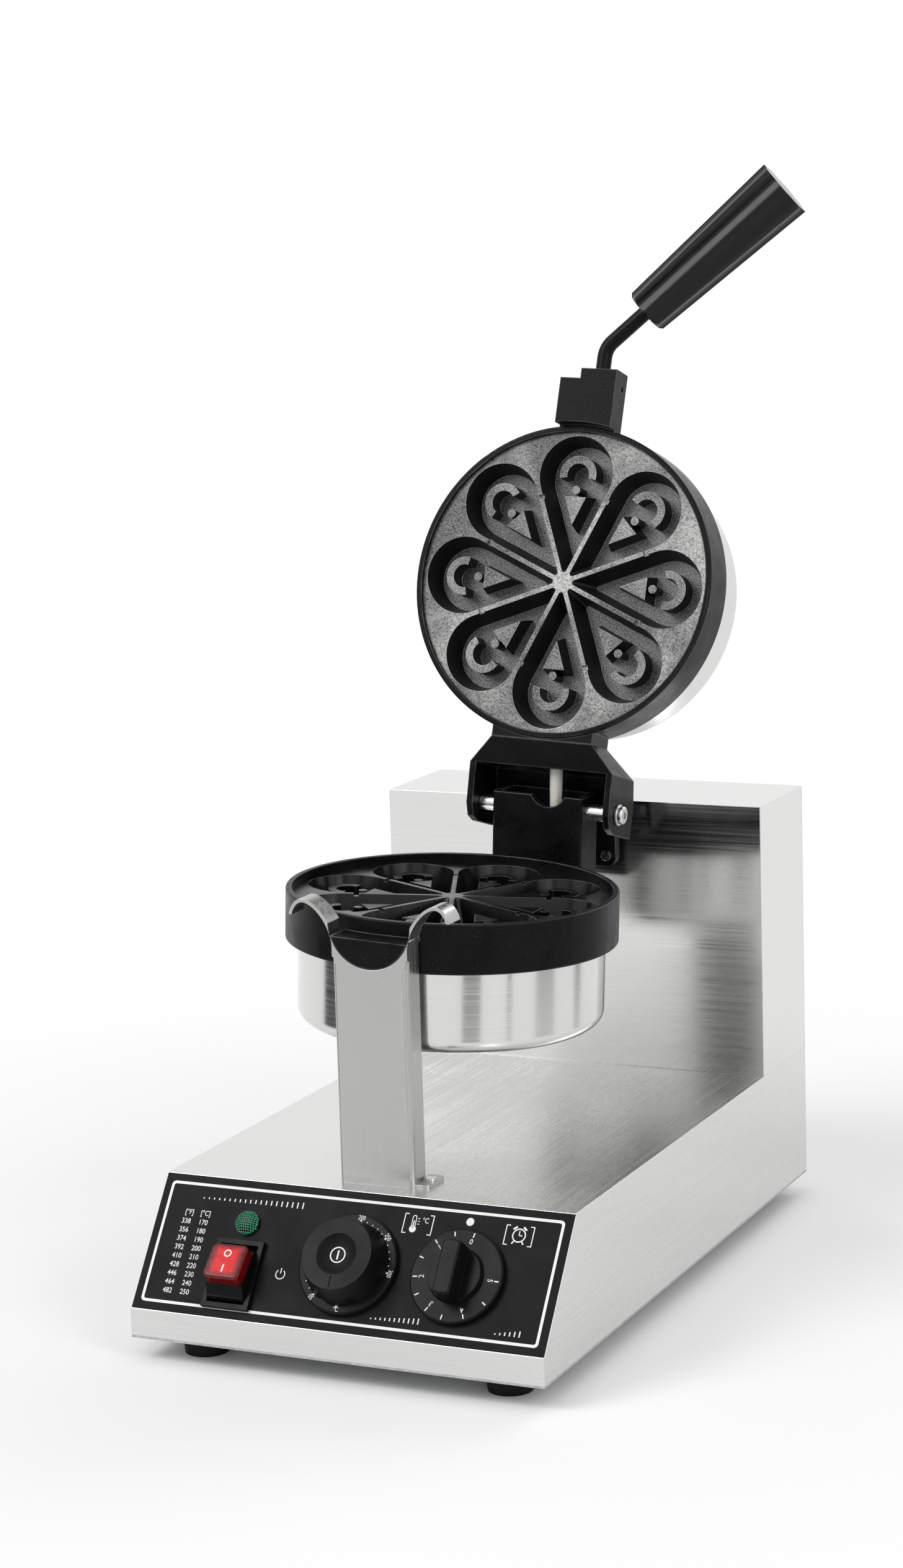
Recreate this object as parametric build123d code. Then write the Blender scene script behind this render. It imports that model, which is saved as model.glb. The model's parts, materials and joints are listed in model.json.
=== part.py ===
# Rotating waffle maker with a hinged lid, an eight-drop mould and a sloped control panel.
# Millimetres. +Z up, front towards -Y. The origin is the centre of the base's footprint on the table.
# The lid stands open. The cooking head turns about a shaft that lies along Y at the height drum_z.

from build123d import *
from math import atan2, cos, degrees, hypot, radians, sin
import os

# Base and column
base_width = 250.0
base_height = 82.0          # sheet-metal base, underside to top
lip_height = 17.0           # plain strip below the control panel
slope_run = 48.5            # the control panel leans back over this depth
feet_height = 13.0
foot_radius = 14.0
foot_inset = 32.0           # foot centre to the base's side
column_depth = 79.0
column_height = 169.0
sheet = 1.2                 # stainless sheet
bottom_sheet = 1.2
fascia_thick = 1.0

# Cooking head
ring_radius = 96.5          # cast ring that holds a mould plate
ring_height = 28.6
plate_thick = 22.0
plate_fit = 0.1             # mould plate to ring, radial
ring_wall = 3.5
can_inset = 7.4             # ring's outside to the polished cover's
can_depth = 77.0            # rim plane to the cover's outer bottom
can_wall = 0.8
can_corner = 8.0
lower_recess = 5.0          # rim above the lower mould's face
upper_recess = 2.6
parting_gap = 0.3           # between the two rims when the lid is shut
drum_clearance = 147.5      # base top to the drum axis
head_roll = 2.8             # the open head sits turned this far, handle side down
lid_open = 106.0            # degrees from shut

# Mould pattern
drops = 8
drop_margin = 2.45          # drop's round end to the plate's edge
rib_half = 1.4              # half the rib between two drops
tip_radius = 1.6
drop_depth = 16.0
drop_draft = 4.0            # how far the walls lean in over the depth
island_top = 3.0            # islands end this far below the face
wedge_in, wedge_length, wedge_width = 13.0, 17.5, 14.0      # base, inwards from the round end's centre
wedge_draft = 2.0
arch_out, arch_outer, arch_inner, arch_reach = 0.5, 12.0, 7.2, 205.0
nub_radius, nub_gap = 2.6, 1.5
notch_in, notch_width, notch_length, notch_depth = 10.8, 3.0, 12.0, 1.5

# Front post, trunnion and cradle
post_setback = 13.5         # panel's top edge to the post
post_inset = 2.0            # post's half width, less than the cradle's radius
post_sheet = 2.0
trunnion_reach = 15.3       # ring to the trunnion's front face
post_clear = 0.6            # post's back edge to the turning ring
cradle_radius = 25.0
cradle_gap = 0.3
trunnion_drop = 8.5         # flat top below the drum axis
arm_root = 0.52             # depth below the drum axis, of the cradle's radius
arm_apex_out, arm_apex_z = 14.0, 10.5      # outside the cradle, and above the drum axis
arm_tip_out, arm_tip_z = 22.0, 3.5
arm_foot = 6.0              # straight start of an arm, inside the post
tab_width, tab_depth, tab_setback = 8.0, 22.0, 2.0

# Lid handle
block_left, block_right, block_step_x = -14.0, 22.5, -1.0
block_reach, block_tail = 28.0, 34.2       # from the ring
block_clear = 1.0           # the block's root to the shut lower ring
block_top = 20.0
rod_radius = 4.6
rod_x, rod_z = 8.3, 4.0
rod_reach, rod_bend = 49.7, 14.0           # ring to the bend's corner, and its radius
handle_turn = 45.0
grip_start, grip_end = 32.7, 144.5         # along the turned part, from the corner
grip_small, grip_large = 14.4, 18.9
flutes, flute_radius, flute_depth = 8, 14.0, 1.7
rod_in_grip, rod_seat = 70.0, 20.0
lock_radius = 2.0

# Hinge
hinge_gap = 40.5            # ring to hinge pin, along Y
hinge_rise = 22.5           # pin above the drum axis
bolt_radius = 3.0
running = 0.06              # radial clearance where a shaft turns
arm_inner, arm_wall = 43.0, 4.0
block_x0, block_x1 = -31.5, 27.5
block_y0, block_y1 = -10.2, 17.0           # from the pin
block_z0, block_z1 = -30.0, 32.0           # from the drum axis
block_wall = 4.0
notch_x, notch_half, notch_drop = 5.0, 12.0, 7.0
boss_half, boss_back = 33.0, 1.0
side_gap = 0.3
washer_thick, bolt_head, head_thick = 1.2, 5.5, 3.5

# Shaft
shaft_radius, shaft_bore = 12.0, 8.5
shaft_gap = 24.0            # hinge block to column
bush_wall, housing_wall = 2.5, 3.0
bearing_length, flange_thick = 28.0, 3.0
flange_half, flange_rise, flange_corner = 31.0, 20.0, 6.0
collar_width, collar_wall, collar_play = 10.0, 5.5, 0.4

# Control panel, u across and v up the slope
lamp_u, lamp_v, lamp_radius = -66.6, 55.8, 7.0
switch_u, switch_v = -66.8, 25.4
bezel_u, bezel_v, bezel_thick = 29.0, 40.0, 3.0
rocker_half_u, rocker_half_v = 11.2, 16.5
rocker_sink = 3.0           # rocker's pivot below the panel's face
rocker_tilt = 11.0          # upper end pressed in by this much, off
rocker_shoulder, rocker_neck, rocker_top = 5.0, 11.0, 18.0   # heights above the pivot
cap_half_v, cap_corner = 10.8, 3.5
rocker_pin_radius, rocker_pin_reach = 1.5, 0.8
knob_v = 38.3
temperature_u, temperature_radius = 1.0, 29.0
timer_u, timer_radius = 66.4, 27.0
dial_gap, dial_thick = 1.0, 3.0
knob_height = 18.5
spindle_radius = 3.0

# Openings, screws and small fittings
hole_gap = 0.1              # radial, round a screw or a piece that snaps in
lamp_body_radius = 5.0
cutout_u, cutout_v = 12.8, 18.6            # half the switch's opening
bush_radius, bush_hole = 4.6, 5.0          # a control's nose and its hole in the panel
control_screw_pitch, control_screw_radius, control_head_radius = 9.5, 1.5, 2.8
post_screw_radius = 1.8
column_flange, column_screw_radius = 14.0, 2.0
back_screw_radius = 1.5
bearing_screw_radius, bearing_screw_x, bearing_screw_z = 1.8, 25.0, 13.0
foot_screw_radius = 2.0
vent_length, vent_width = 40.0, 3.0
gland_x, gland_rise, gland_radius, gland_bore = -70.0, 34.0, 8.0, 4.0
can_screw_radius = 2.5
heater_radius, heater_inset, heater_arc = 3.4, 33.0, 300.0   # inset from the plate's edge
block_screws_x, block_screw_z, block_screw_radius = (-16.0, 16.0), -17.5, 2.0
bracket_screws_x, bracket_screw_z, bracket_screw_radius = (-22.0, 22.0), 15.0, 1.8
sleeve_x, sleeve_radius, sleeve_wall = 6.0, 4.0, 1.2
hood_run = 16.5             # hinge bracket's hood, along Y
hood_low0, hood_high0 = 1.2, 27.6          # its opening at the ring, above the rim plane
hood_low1, hood_high1 = 5.7, 43.0          # and at the arms
arm_end, arm_high = 12.5, 25.5             # arms' end past the pin, and their top above it
hood_end = -2.0             # where the hood's top wall stops, from the pin

# Derived places
plate_radius = ring_radius - ring_wall
can_radius = ring_radius - can_inset
half_angle = radians(180 / drops)
drop_centre = (plate_radius - drop_margin + rib_half) / (1 + sin(half_angle))
half_gap = parting_gap / 2
pin_y0 = ring_radius + hinge_gap           # hinge pin from the pan's centre
base_depth = (slope_run + post_setback + trunnion_reach + 2 * ring_radius + hinge_gap
              + block_y1 + shaft_gap + column_depth)
y_front = -base_depth / 2
y_back = base_depth / 2
y_edge = y_front + slope_run
y_post = y_edge + post_setback
pan_y = y_post + trunnion_reach + ring_radius
pin_y = pan_y + pin_y0
column_y = pin_y + block_y1 + shaft_gap
z_base = feet_height
z_lip = z_base + lip_height
z_top = z_base + base_height
drum_z = z_top + drum_clearance
z_column = z_top + column_height
slope = atan2(z_top - z_lip, slope_run)
slope_length = hypot(slope_run, z_top - z_lip)
panel = Plane((0, y_front, z_lip), x_dir=(1, 0, 0), z_dir=(0, -sin(slope), cos(slope)))
side = base_width / 2
inside_w = -fascia_thick - sheet           # inner face of the panel and the sheet behind it
block_front = pin_y0 + block_y0
block_back = pin_y0 + block_y1
hood_y0 = ring_radius + boss_back
hood_y1 = hood_y0 + hood_run
sleeve_z0 = block_z0 + block_wall
housing_radius = shaft_radius + bush_wall + housing_wall
collar_radius = shaft_radius + collar_wall
collar_y0 = block_back + shaft_gap - flange_thick + bearing_length + collar_play
post_half = cradle_radius - post_inset
post_depth = trunnion_reach - post_clear
tab_y0 = y_post + tab_setback
arm_root_z = -arm_root * cradle_radius
gland_z = z_base + gland_rise

# Where the screws and feet stand
feet_at = [(sx * (side - foot_inset), y) for sx in (-1, 1) for y in (y_front + 28, y_back - 28)]
post_screws_at = [(post_half + tab_width / 2, tab_y0 + tab_depth / 2),
                  (-post_half + post_sheet + tab_width / 2, tab_y0 + tab_depth / 2)]
duct = (-35.0, 35.0, column_y + 14, y_back - 22)
column_screws_at = [(sx * (side - 9), y) for sx in (-1, 1) for y in (column_y + 18, y_back - 20)]
back_screws_at = [(sx * (side - sheet - 7), z) for sx in (-1, 1) for z in (z_top + 20, z_column - 20)]
bearing_screws_at = [(sx * bearing_screw_x, drum_z + sz * bearing_screw_z)
                     for sx in (-1, 1) for sz in (-1, 1)]
control_screws_u = [u + sign * control_screw_pitch for u in (temperature_u, timer_u) for sign in (-1, 1)]


def box(x0, x1, y0, y1, z0, z1):
    return Pos((x0 + x1) / 2, (y0 + y1) / 2, (z0 + z1) / 2) * Box(x1 - x0, y1 - y0, z1 - z0)


def bar_x(x0, x1, y, z, radius):
    return Pos((x0 + x1) / 2, y, z) * Rot(0, 90, 0) * Cylinder(radius, x1 - x0)


def bar_y(x, y0, y1, z, radius):
    return Pos(x, (y0 + y1) / 2, z) * Rot(90, 0, 0) * Cylinder(radius, y1 - y0)


def bar_z(x, y, z0, z1, radius):
    return Pos(x, y, (z0 + z1) / 2) * Cylinder(radius, z1 - z0)


def prism_x(points, x0, x1):
    """Solid from a (y, z) outline, between two x planes."""
    outline = make_face(Polyline(*[(x0, y, z) for y, z in points], close=True))
    return extrude(outline, x1 - x0, dir=(1, 0, 0))


def on_panel(u, v, w=0.0):
    return panel.location * Pos(u, v, w)


def panel_box(u0, u1, v0, v1, w0, w1):
    return panel.location * box(u0, u1, v0, v1, w0, w1)


def panel_bar(u, v, w0, w1, radius):
    return panel.location * bar_z(u, v, w0, w1, radius)


# Base


def slope_point(inset, y=None, z=None):
    """Point on the slope's line moved inwards, where it meets the given y or z."""
    y0 = y_front + inset * sin(slope)
    z0 = z_lip - inset * cos(slope)
    run = (y - y0) / cos(slope) if y is not None else (z - z0) / sin(slope)
    return y0 + run * cos(slope), z0 + run * sin(slope)


def panel_openings(w0, w1, spindle_hole):
    """What passes through the panel: lamp, switch, two spindles and their fixing screws."""
    cut = panel_bar(lamp_u, lamp_v, w0, w1, lamp_body_radius + hole_gap)
    cut += panel_box(switch_u - cutout_u, switch_u + cutout_u,
                     switch_v - cutout_v, switch_v + cutout_v, w0, w1)
    for u in (temperature_u, timer_u):
        cut += panel_bar(u, knob_v, w0, w1, spindle_hole)
    return cut


def base_shell():
    z0 = z_base + bottom_sheet
    outer = prism_x([(y_front, z0), (y_front, z_lip), (y_edge, z_top), (y_back, z_top), (y_back, z0)],
                    -side, side)
    inset = fascia_thick + sheet
    low = slope_point(inset, y=y_front + sheet)
    high = slope_point(inset, z=z_top - sheet)
    inner = prism_x([(y_front + sheet, z0 - 1), low, high, (y_back - sheet, z_top - sheet),
                     (y_back - sheet, z0 - 1)], -side + sheet, side - sheet)
    shell = outer - inner - panel_box(-side - 1, side + 1, 0.3, slope_length - 0.3, -fascia_thick, 5)
    shell -= panel_openings(-6, 1, bush_hole)
    for u in control_screws_u:
        shell -= panel_bar(u, knob_v, -6, 1, control_screw_radius + hole_gap)
    for x, y in post_screws_at:
        shell -= bar_z(x, y, z_top - 3, z_top + 1, post_screw_radius + hole_gap)
    for x, y in column_screws_at:
        shell -= bar_z(x, y, z_top - 3, z_top + 1, column_screw_radius + hole_gap)
    shell -= box(duct[0], duct[1], duct[2], duct[3], z_top - 3, z_top + 1)
    shell -= bar_y(gland_x, y_back - 3, y_back + 1, gland_z, gland_radius + hole_gap)
    return shell


def base_bottom_plate():
    plate = box(-side, side, y_front, y_back, z_base, z_base + bottom_sheet)
    for x, y in feet_at:
        plate -= bar_z(x, y, z_base - 1, z_base + 3, foot_screw_radius + hole_gap)
    for row in (-1, 1):
        for k in range(-3, 4):
            y = row * 70 + k * 9
            plate -= box(-vent_length / 2, vent_length / 2, y - vent_width / 2, y + vent_width / 2,
                         z_base - 1, z_base + 3)
    return plate


def feet():
    """Four rubber feet, each with a pocket for its screw's head."""
    feet_list = []
    for x, y in feet_at:
        foot = Pos(x, y, feet_height / 2) * Cone(foot_radius - 1.5, foot_radius, feet_height)
        foot -= bar_z(x, y, -1, 5, 5.0)
        foot -= bar_z(x, y, 4, feet_height + 1, foot_screw_radius + hole_gap)
        feet_list.append(foot)
    return feet_list


def feet_screws():
    return [bar_z(x, y, 2.5, 5, 4.0) + bar_z(x, y, 4.5, z_base + bottom_sheet + 5, foot_screw_radius)
            for x, y in feet_at]


def fascia_panel():
    sheet_body = panel_box(-side + 0.4, side - 0.4, 0.4, slope_length - 0.4, -fascia_thick, 0)
    sheet_body -= panel_openings(-6, 1, bush_hole)
    for u in control_screws_u:
        sheet_body -= panel_bar(u, knob_v, -6, 1, control_head_radius + hole_gap)
    return sheet_body


# Column


def column_cover():
    y1 = y_back - sheet
    cover = box(-side, side, column_y, y1, z_top, z_column)
    cover -= box(-side + sheet, side - sheet, column_y + sheet, y1 + 1, z_top - 1, z_column - sheet)
    for s in (-1, 1):
        x0, x1 = sorted((s * (side - sheet), s * (side - sheet - column_flange)))
        cover += box(x0, x1, column_y + sheet, y1, z_top, z_top + sheet)
        cover += box(x0, x1, y1 - sheet, y1, z_top + sheet, z_column - sheet)
    cover -= bar_y(0, column_y - 1, column_y + sheet + 1, drum_z, housing_radius + 0.2)
    for x, y in column_screws_at:
        cover -= bar_z(x, y, z_top - 1, z_top + sheet + 1, column_screw_radius + hole_gap)
    for x, z in back_screws_at:
        cover -= bar_y(x, y1 - 3, y1 + 1, z, back_screw_radius + hole_gap)
    for x, z in bearing_screws_at:
        cover -= bar_y(x, column_y - 1, column_y + sheet + 1, z, bearing_screw_radius + hole_gap)
    return cover


def column_back_panel():
    plate = box(-side, side, y_back - sheet, y_back, z_top, z_column)
    for x, z in back_screws_at:
        plate -= bar_y(x, y_back - 3, y_back + 1, z, back_screw_radius + hole_gap)
    for k in range(8):
        z = z_top + 45 + k * 10
        plate -= box(-45, 45, y_back - 3, y_back + 1, z, z + vent_width)
    return plate


def back_screws():
    return [bar_y(x, y_back - sheet - 6, y_back + 0.1, z, back_screw_radius)
            + bar_y(x, y_back, y_back + 1.8, z, 3.0) for x, z in back_screws_at]


def column_screws():
    """Screws from inside the base, up through its top and the column's flanges."""
    return [bar_z(x, y, z_top - sheet - 2.4, z_top - sheet, 3.6)
            + bar_z(x, y, z_top - sheet - 0.1, z_top + sheet + 5, column_screw_radius)
            for x, y in column_screws_at]


def bearing_housing():
    """Flanged sleeve bolted to the column's front sheet."""
    y0 = column_y - flange_thick
    body = box(-flange_half, flange_half, y0, column_y, drum_z - flange_rise, drum_z + flange_rise)
    body = fillet(body.edges().filter_by(Axis.Y), flange_corner)
    body += bar_y(0, y0, y0 + bearing_length, drum_z, housing_radius)
    body -= bar_y(0, y0 - 1, y0 + bearing_length + 1, drum_z, shaft_radius + bush_wall)
    for x, z in bearing_screws_at:
        body -= bar_y(x, y0 - 1, column_y + 1, z, bearing_screw_radius + hole_gap)
    return body


def shaft_bush():
    y0 = column_y - flange_thick
    return (bar_y(0, y0, y0 + bearing_length, drum_z, shaft_radius + bush_wall)
            - bar_y(0, y0 - 1, y0 + bearing_length + 1, drum_z, shaft_radius + running))


def bearing_screws():
    y0 = column_y - flange_thick
    return [bar_y(x, y0 - 2.0, y0, z, 3.2) + bar_y(x, y0 - 0.1, column_y + sheet + 6, z, bearing_screw_radius)
            for x, z in bearing_screws_at]


# Front post


def flared_arm():
    """Right-hand sheet strip that leaves the post's side, sweeps out and curls over at its end."""
    x0 = post_half - post_sheet
    root_z = arm_root_z - arm_foot

    def edge(offset):
        """The strip's inner line moved outwards: up the side, out to the apex, down to the tip."""
        low = (x0 + offset, y_post, drum_z + root_z)
        turn = (x0 + offset, y_post, drum_z + arm_root_z)
        apex = (cradle_radius + arm_apex_out, y_post, drum_z + arm_apex_z + post_sheet - offset)
        tip = (cradle_radius + arm_tip_out + post_sheet - offset, y_post, drum_z + arm_tip_z)
        return [Line(low, turn).edge(),
                Spline(turn, apex, tangents=[(0, 0, 1), (1, 0, 0.25)], tangent_scalars=[0.9, 0.9]).edge(),
                Spline(apex, tip, tangents=[(1, 0, 0.25), (0.2, 0, -1)]).edge()], low, tip
    upper, low_in, tip_out = edge(0.0)
    lower, low_out, tip_in = edge(post_sheet)
    outline = Wire(upper + [Line(tip_out, tip_in).edge()] + lower + [Line(low_out, low_in).edge()])
    return extrude(make_face(outline), post_depth, dir=(0, 1, 0))


def front_post():
    """Folded channel with a half-round cradle, two flared guide arms and two screw tabs."""
    z1 = drum_z + arm_root_z - arm_foot
    y1 = y_post + post_depth
    post = box(-post_half, post_half, y_post, y1, z_top, z1)
    inner = box(-post_half + post_sheet, post_half - post_sheet, y_post + post_sheet, y1 + 1,
                z_top - 1, z1 + 1)
    corners = post.edges().filter_by(Axis.Z).group_by(Axis.Y)[0]
    post = fillet(corners, post_sheet * 1.5) - inner
    post += flared_arm()
    post += mirror(flared_arm(), about=Plane.YZ)
    # The front sheet rises between the arms as far as the cradle lets it.
    post += box(-post_half + post_sheet / 2, post_half - post_sheet / 2, y_post, y_post + post_sheet,
                z1 - 4, drum_z + arm_root_z)
    post -= bar_y(0, y_post - 1, y1 + 1, drum_z, cradle_radius)
    tab_y1 = tab_y0 + tab_depth
    tab_out = box(post_half - post_sheet, post_half + tab_width, tab_y0, tab_y1, z_top, z_top + post_sheet)
    outer_corners = tab_out.edges().filter_by(Axis.Z).group_by(Axis.X)[-1]
    post += fillet(outer_corners, tab_width * 0.45)
    post += box(-post_half + post_sheet / 2, -post_half + post_sheet + tab_width, tab_y0, tab_y1,
                z_top, z_top + post_sheet)
    for x, y in post_screws_at:
        post -= bar_z(x, y, z_top - 1, z_top + 5, post_screw_radius + hole_gap)
    return post


def post_screws():
    z0 = z_top + post_sheet
    return [bar_z(x, y, z0, z0 + 1.6, 3.2) + bar_z(x, y, z_top - sheet - 6, z0 + 0.1, post_screw_radius)
            for x, y in post_screws_at]


# Controls behind and on the panel


def switch_housing():
    """Snap-in switch body with its bezel; the rocker's pins turn in its side walls."""
    body = panel_box(switch_u - cutout_u + 0.1, switch_u + cutout_u - 0.1,
                     switch_v - cutout_v + 0.1, switch_v + cutout_v - 0.1, -24, 0.5)
    bezel = panel_box(switch_u - bezel_u / 2, switch_u + bezel_u / 2,
                      switch_v - bezel_v / 2, switch_v + bezel_v / 2, 0, bezel_thick)
    body += bezel
    body -= panel_box(switch_u - rocker_half_u - side_gap, switch_u + rocker_half_u + side_gap,
                      switch_v - rocker_half_v - 0.5, switch_v + rocker_half_v + 0.5,
                      -20, bezel_thick + 1)
    body -= rocker_pins(running, 0.2)
    return body


def on_rocker():
    """The rocker's own frame: its pivot, with its top turned in at the upper end."""
    return on_panel(switch_u, switch_v, -rocker_sink) * Rot(-rocker_tilt, 0, 0)


def rocker_pins(extra, reach):
    half = rocker_half_u + side_gap + rocker_pin_reach + reach
    return on_rocker() * bar_x(-half, half, 0, 0, rocker_pin_radius + extra)


def power_rocker():
    """Rocker with round ends about its pivot, and a raised neck that carries the red cap."""
    body = bar_x(-rocker_half_u, rocker_half_u, 0, 0, rocker_half_v)
    body = body & box(-20, 20, -20, 20, -2, rocker_shoulder)
    shoulder_v = rocker_half_v - 1.0
    neck = prism_x([(-shoulder_v, rocker_shoulder - 1), (shoulder_v, rocker_shoulder - 1),
                    (cap_half_v, rocker_neck), (-cap_half_v, rocker_neck)], -rocker_half_u, rocker_half_u)
    body += neck & bar_x(-rocker_half_u, rocker_half_u, 0, 0, rocker_half_v)
    return on_rocker() * body + rocker_pins(0.0, 0.0)


def rocker_cap():
    cap = box(-rocker_half_u, rocker_half_u, -cap_half_v, cap_half_v, rocker_neck, rocker_top)
    cap = fillet(cap.edges().filter_by(Axis.Z), cap_corner)
    cap = fillet(cap.edges().group_by(Axis.Z)[-1], 1.5)
    return on_rocker() * cap


def switch_terminals():
    return [panel_box(switch_u + du - 0.4, switch_u + du + 0.4, switch_v + dv - 3.1, switch_v + dv + 3.1,
                      -32, -24) for du in (-6, 6) for dv in (-9, 9)]


def pilot_lamp_lens():
    ring = panel_bar(lamp_u, lamp_v, 0, 2.0, lamp_radius)
    dome = on_panel(lamp_u, lamp_v, -2.5) * Sphere(7.4)
    dome = dome & panel_bar(lamp_u, lamp_v, 1.9, 8, lamp_radius - 0.6)
    return ring + dome


def pilot_lamp_body():
    return panel_bar(lamp_u, lamp_v, -24, 0, lamp_body_radius)


def control_body(u, shape, depth):
    """Control behind the panel: a body, a nose that passes the sheets, and the spindle's bore."""
    w0 = inside_w
    body = shape + panel_bar(u, knob_v, w0 - 0.1, -0.2, bush_radius)
    return body - panel_bar(u, knob_v, w0 - depth * 0.6, 1, spindle_radius + running)


def thermostat_body():
    w0 = inside_w
    shape = panel_box(temperature_u - 15, temperature_u + 15, knob_v - 19, knob_v + 19, w0 - 20, w0)
    body = control_body(temperature_u, shape, 20)
    for s in (-1, 1):
        body -= panel_bar(temperature_u + s * control_screw_pitch, knob_v, w0 - 6, w0 + 1,
                          control_screw_radius)
    return body


def timer_body():
    w0 = inside_w
    body = control_body(timer_u, panel_bar(timer_u, knob_v, w0 - 24, w0, 21), 20)
    for s in (-1, 1):
        body -= panel_bar(timer_u + s * control_screw_pitch, knob_v, w0 - 6, w0 + 1, control_screw_radius)
    return body


def timer_bell():
    w0 = inside_w - 24
    cup = panel_bar(timer_u, knob_v, w0 - 6, w0, 17) - panel_bar(timer_u, knob_v, w0 - 5, w0 + 1, 16)
    return cup + panel_bar(timer_u, knob_v, w0 - 6, w0, 2.5)


def control_screws():
    """Countersunk screws that hold the thermostat and the timer, under their dials."""
    w0 = inside_w
    return [panel_bar(u, knob_v, -fascia_thick, -0.05, control_head_radius)
            + panel_bar(u, knob_v, w0 - 5.5, -fascia_thick, control_screw_radius)
            for u in control_screws_u]


def spindle(u):
    w0 = inside_w
    return panel_bar(u, knob_v, w0 - 8, dial_gap + knob_height - 4, spindle_radius)


def dial_disc(u, radius):
    disc = panel_bar(u, knob_v, dial_gap, dial_gap + dial_thick, radius)
    rim = disc.edges().filter_by(GeomType.CIRCLE).group_by(SortBy.RADIUS)[-1]
    disc = fillet(rim.sort_by(Axis((0, 0, 0), panel.z_dir))[-1], 1.2)
    return disc - panel_bar(u, knob_v, dial_gap - 1, dial_gap + dial_thick + 1, spindle_radius)


def temperature_knob():
    """Eight-lobed grip with a dished top."""
    w0, w1 = dial_gap + dial_thick, dial_gap + knob_height
    grip = on_panel(temperature_u, knob_v, (w0 + w1) / 2) * Cone(24.5, 20.5, w1 - w0)
    for k in range(8):
        a = radians(22.5 + 45 * k)
        scallop = Cone(10.5, 13.0, w1 - w0 + 8)
        grip -= on_panel(temperature_u + 34 * cos(a), knob_v + 34 * sin(a), (w0 + w1) / 2 + 4) * scallop
    dish = on_panel(temperature_u, knob_v, w1 + 26.5) * Sphere(29.0)
    grip -= dish
    return grip - panel_bar(temperature_u, knob_v, w0 - 1, w1 - 4, spindle_radius)


def timer_knob():
    """Low round boss with a finger bar across it."""
    w0, w1 = dial_gap + dial_thick, dial_gap + knob_height
    boss = on_panel(timer_u, knob_v, w0 + 1.5) * Cone(16, 15, 3.0)
    bar = box(-5.2, 5.2, -16, 16, w0, w1) & bar_z(0, 0, w0, w1, 15.6)
    bar = on_panel(timer_u, knob_v) * fillet(bar.edges().group_by(Axis.Z)[-1], 1.2)
    return boss + bar - panel_bar(timer_u, knob_v, w0 - 1, w1 - 4, spindle_radius)


def terminal_block():
    """Porcelain connector on the base's floor, with five wire holes."""
    z0 = z_base + bottom_sheet
    y0 = y_back - 70
    block = box(-75, -25, y0 - 10, y0 + 10, z0, z0 + 16)
    for k in range(5):
        block -= bar_y(-70 + 10 * k, y0 - 11, y0 + 11, z0 + 9, 2.2)
    return block


def cable_gland():
    """Bushing in the base's back wall; the mains lead's bore runs through it."""
    gland = bar_y(gland_x, y_back - 14, y_back, gland_z, gland_radius)
    gland += bar_y(gland_x, y_back, y_back + 4, gland_z, gland_radius + 3)
    return gland - bar_y(gland_x, y_back - 15, y_back + 5, gland_z, gland_bore)


def gland_nut():
    nut = Pos(gland_x, y_back - sheet - 3, gland_z) * Rot(90, 0, 0) * extrude(
        RegularPolygon(gland_radius + 4, 6), 3, both=True)
    return nut - bar_y(gland_x, y_back - 15, y_back, gland_z, gland_radius)


# Mould plates. Built face up at z = 0, centred on the origin.


def drop_outline(inset, z):
    """Drop towards +Y: a big round end, straight sides along the ribs and a small round tip."""
    rib = rib_half + inset
    big = drop_centre * sin(half_angle) - rib
    tip = (tip_radius + rib) / sin(half_angle)
    dx, dy = cos(half_angle), -sin(half_angle)
    a = (big * dx, drop_centre + big * dy)
    b = (tip_radius * dx, tip + tip_radius * dy)
    lines = [ThreePointArc((a[0], a[1], z), (0, drop_centre + big, z), (-a[0], a[1], z)),
             Line((-a[0], a[1], z), (-b[0], b[1], z)),
             ThreePointArc((-b[0], b[1], z), (0, tip - tip_radius, z), (b[0], b[1], z)),
             Line((b[0], b[1], z), (a[0], a[1], z))]
    return make_face(Wire([e.edge() for e in lines]))


def wedge_outline(grow, z):
    half = wedge_width / 2 + grow
    base = drop_centre - wedge_in
    return make_face(Polyline((-half, base + grow, z), (half, base + grow, z),
                              (0, base - wedge_length - 2 * grow, z), close=True))


def arch_island(z0, z1):
    """Island shaped like an arch that opens towards the hub, with a nub in its mouth."""
    arch_centre = drop_centre + arch_out
    ring = bar_z(0, arch_centre, z0, z1, arch_outer) - bar_z(0, arch_centre, z0 - 1, z1 + 1, arch_inner)
    spare = (360 - arch_reach) / 2
    far = 30.0
    mouth = make_face(Polyline((0, arch_centre, z0 - 1),
                               (far * sin(radians(spare)), arch_centre - far * cos(radians(spare)), z0 - 1),
                               (0, arch_centre - 2 * far, z0 - 1),
                               (-far * sin(radians(spare)), arch_centre - far * cos(radians(spare)), z0 - 1),
                               close=True))
    ring -= extrude(mouth, z1 - z0 + 2, dir=(0, 0, 1))
    return ring + bar_z(0, drop_centre - wedge_in + nub_gap + nub_radius, z0, z1, nub_radius)


def mould_plate(thick):
    plate = bar_z(0, 0, -thick, 0, plate_radius - plate_fit)
    lean = drop_draft / drop_depth
    above = 1.0
    cavity = loft([drop_outline(-lean * above, above), drop_outline(drop_draft, -drop_depth)], ruled=True)
    wedge = loft([wedge_outline(0.0, -island_top), wedge_outline(wedge_draft, -drop_depth - 0.5)], ruled=True)
    arch = arch_island(-drop_depth - 0.5, -island_top)
    pocket = cavity - wedge - arch
    for k in range(drops):
        plate -= Rot(0, 0, 360 / drops * k) * pocket
    for k in range(drops):
        cut = Pos(0, drop_centre - notch_in, 0) * Box(notch_length, notch_width, 2 * notch_depth)
        plate -= Rot(0, 0, 360 / drops * (k + 0.5)) * cut
    return plate


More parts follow.
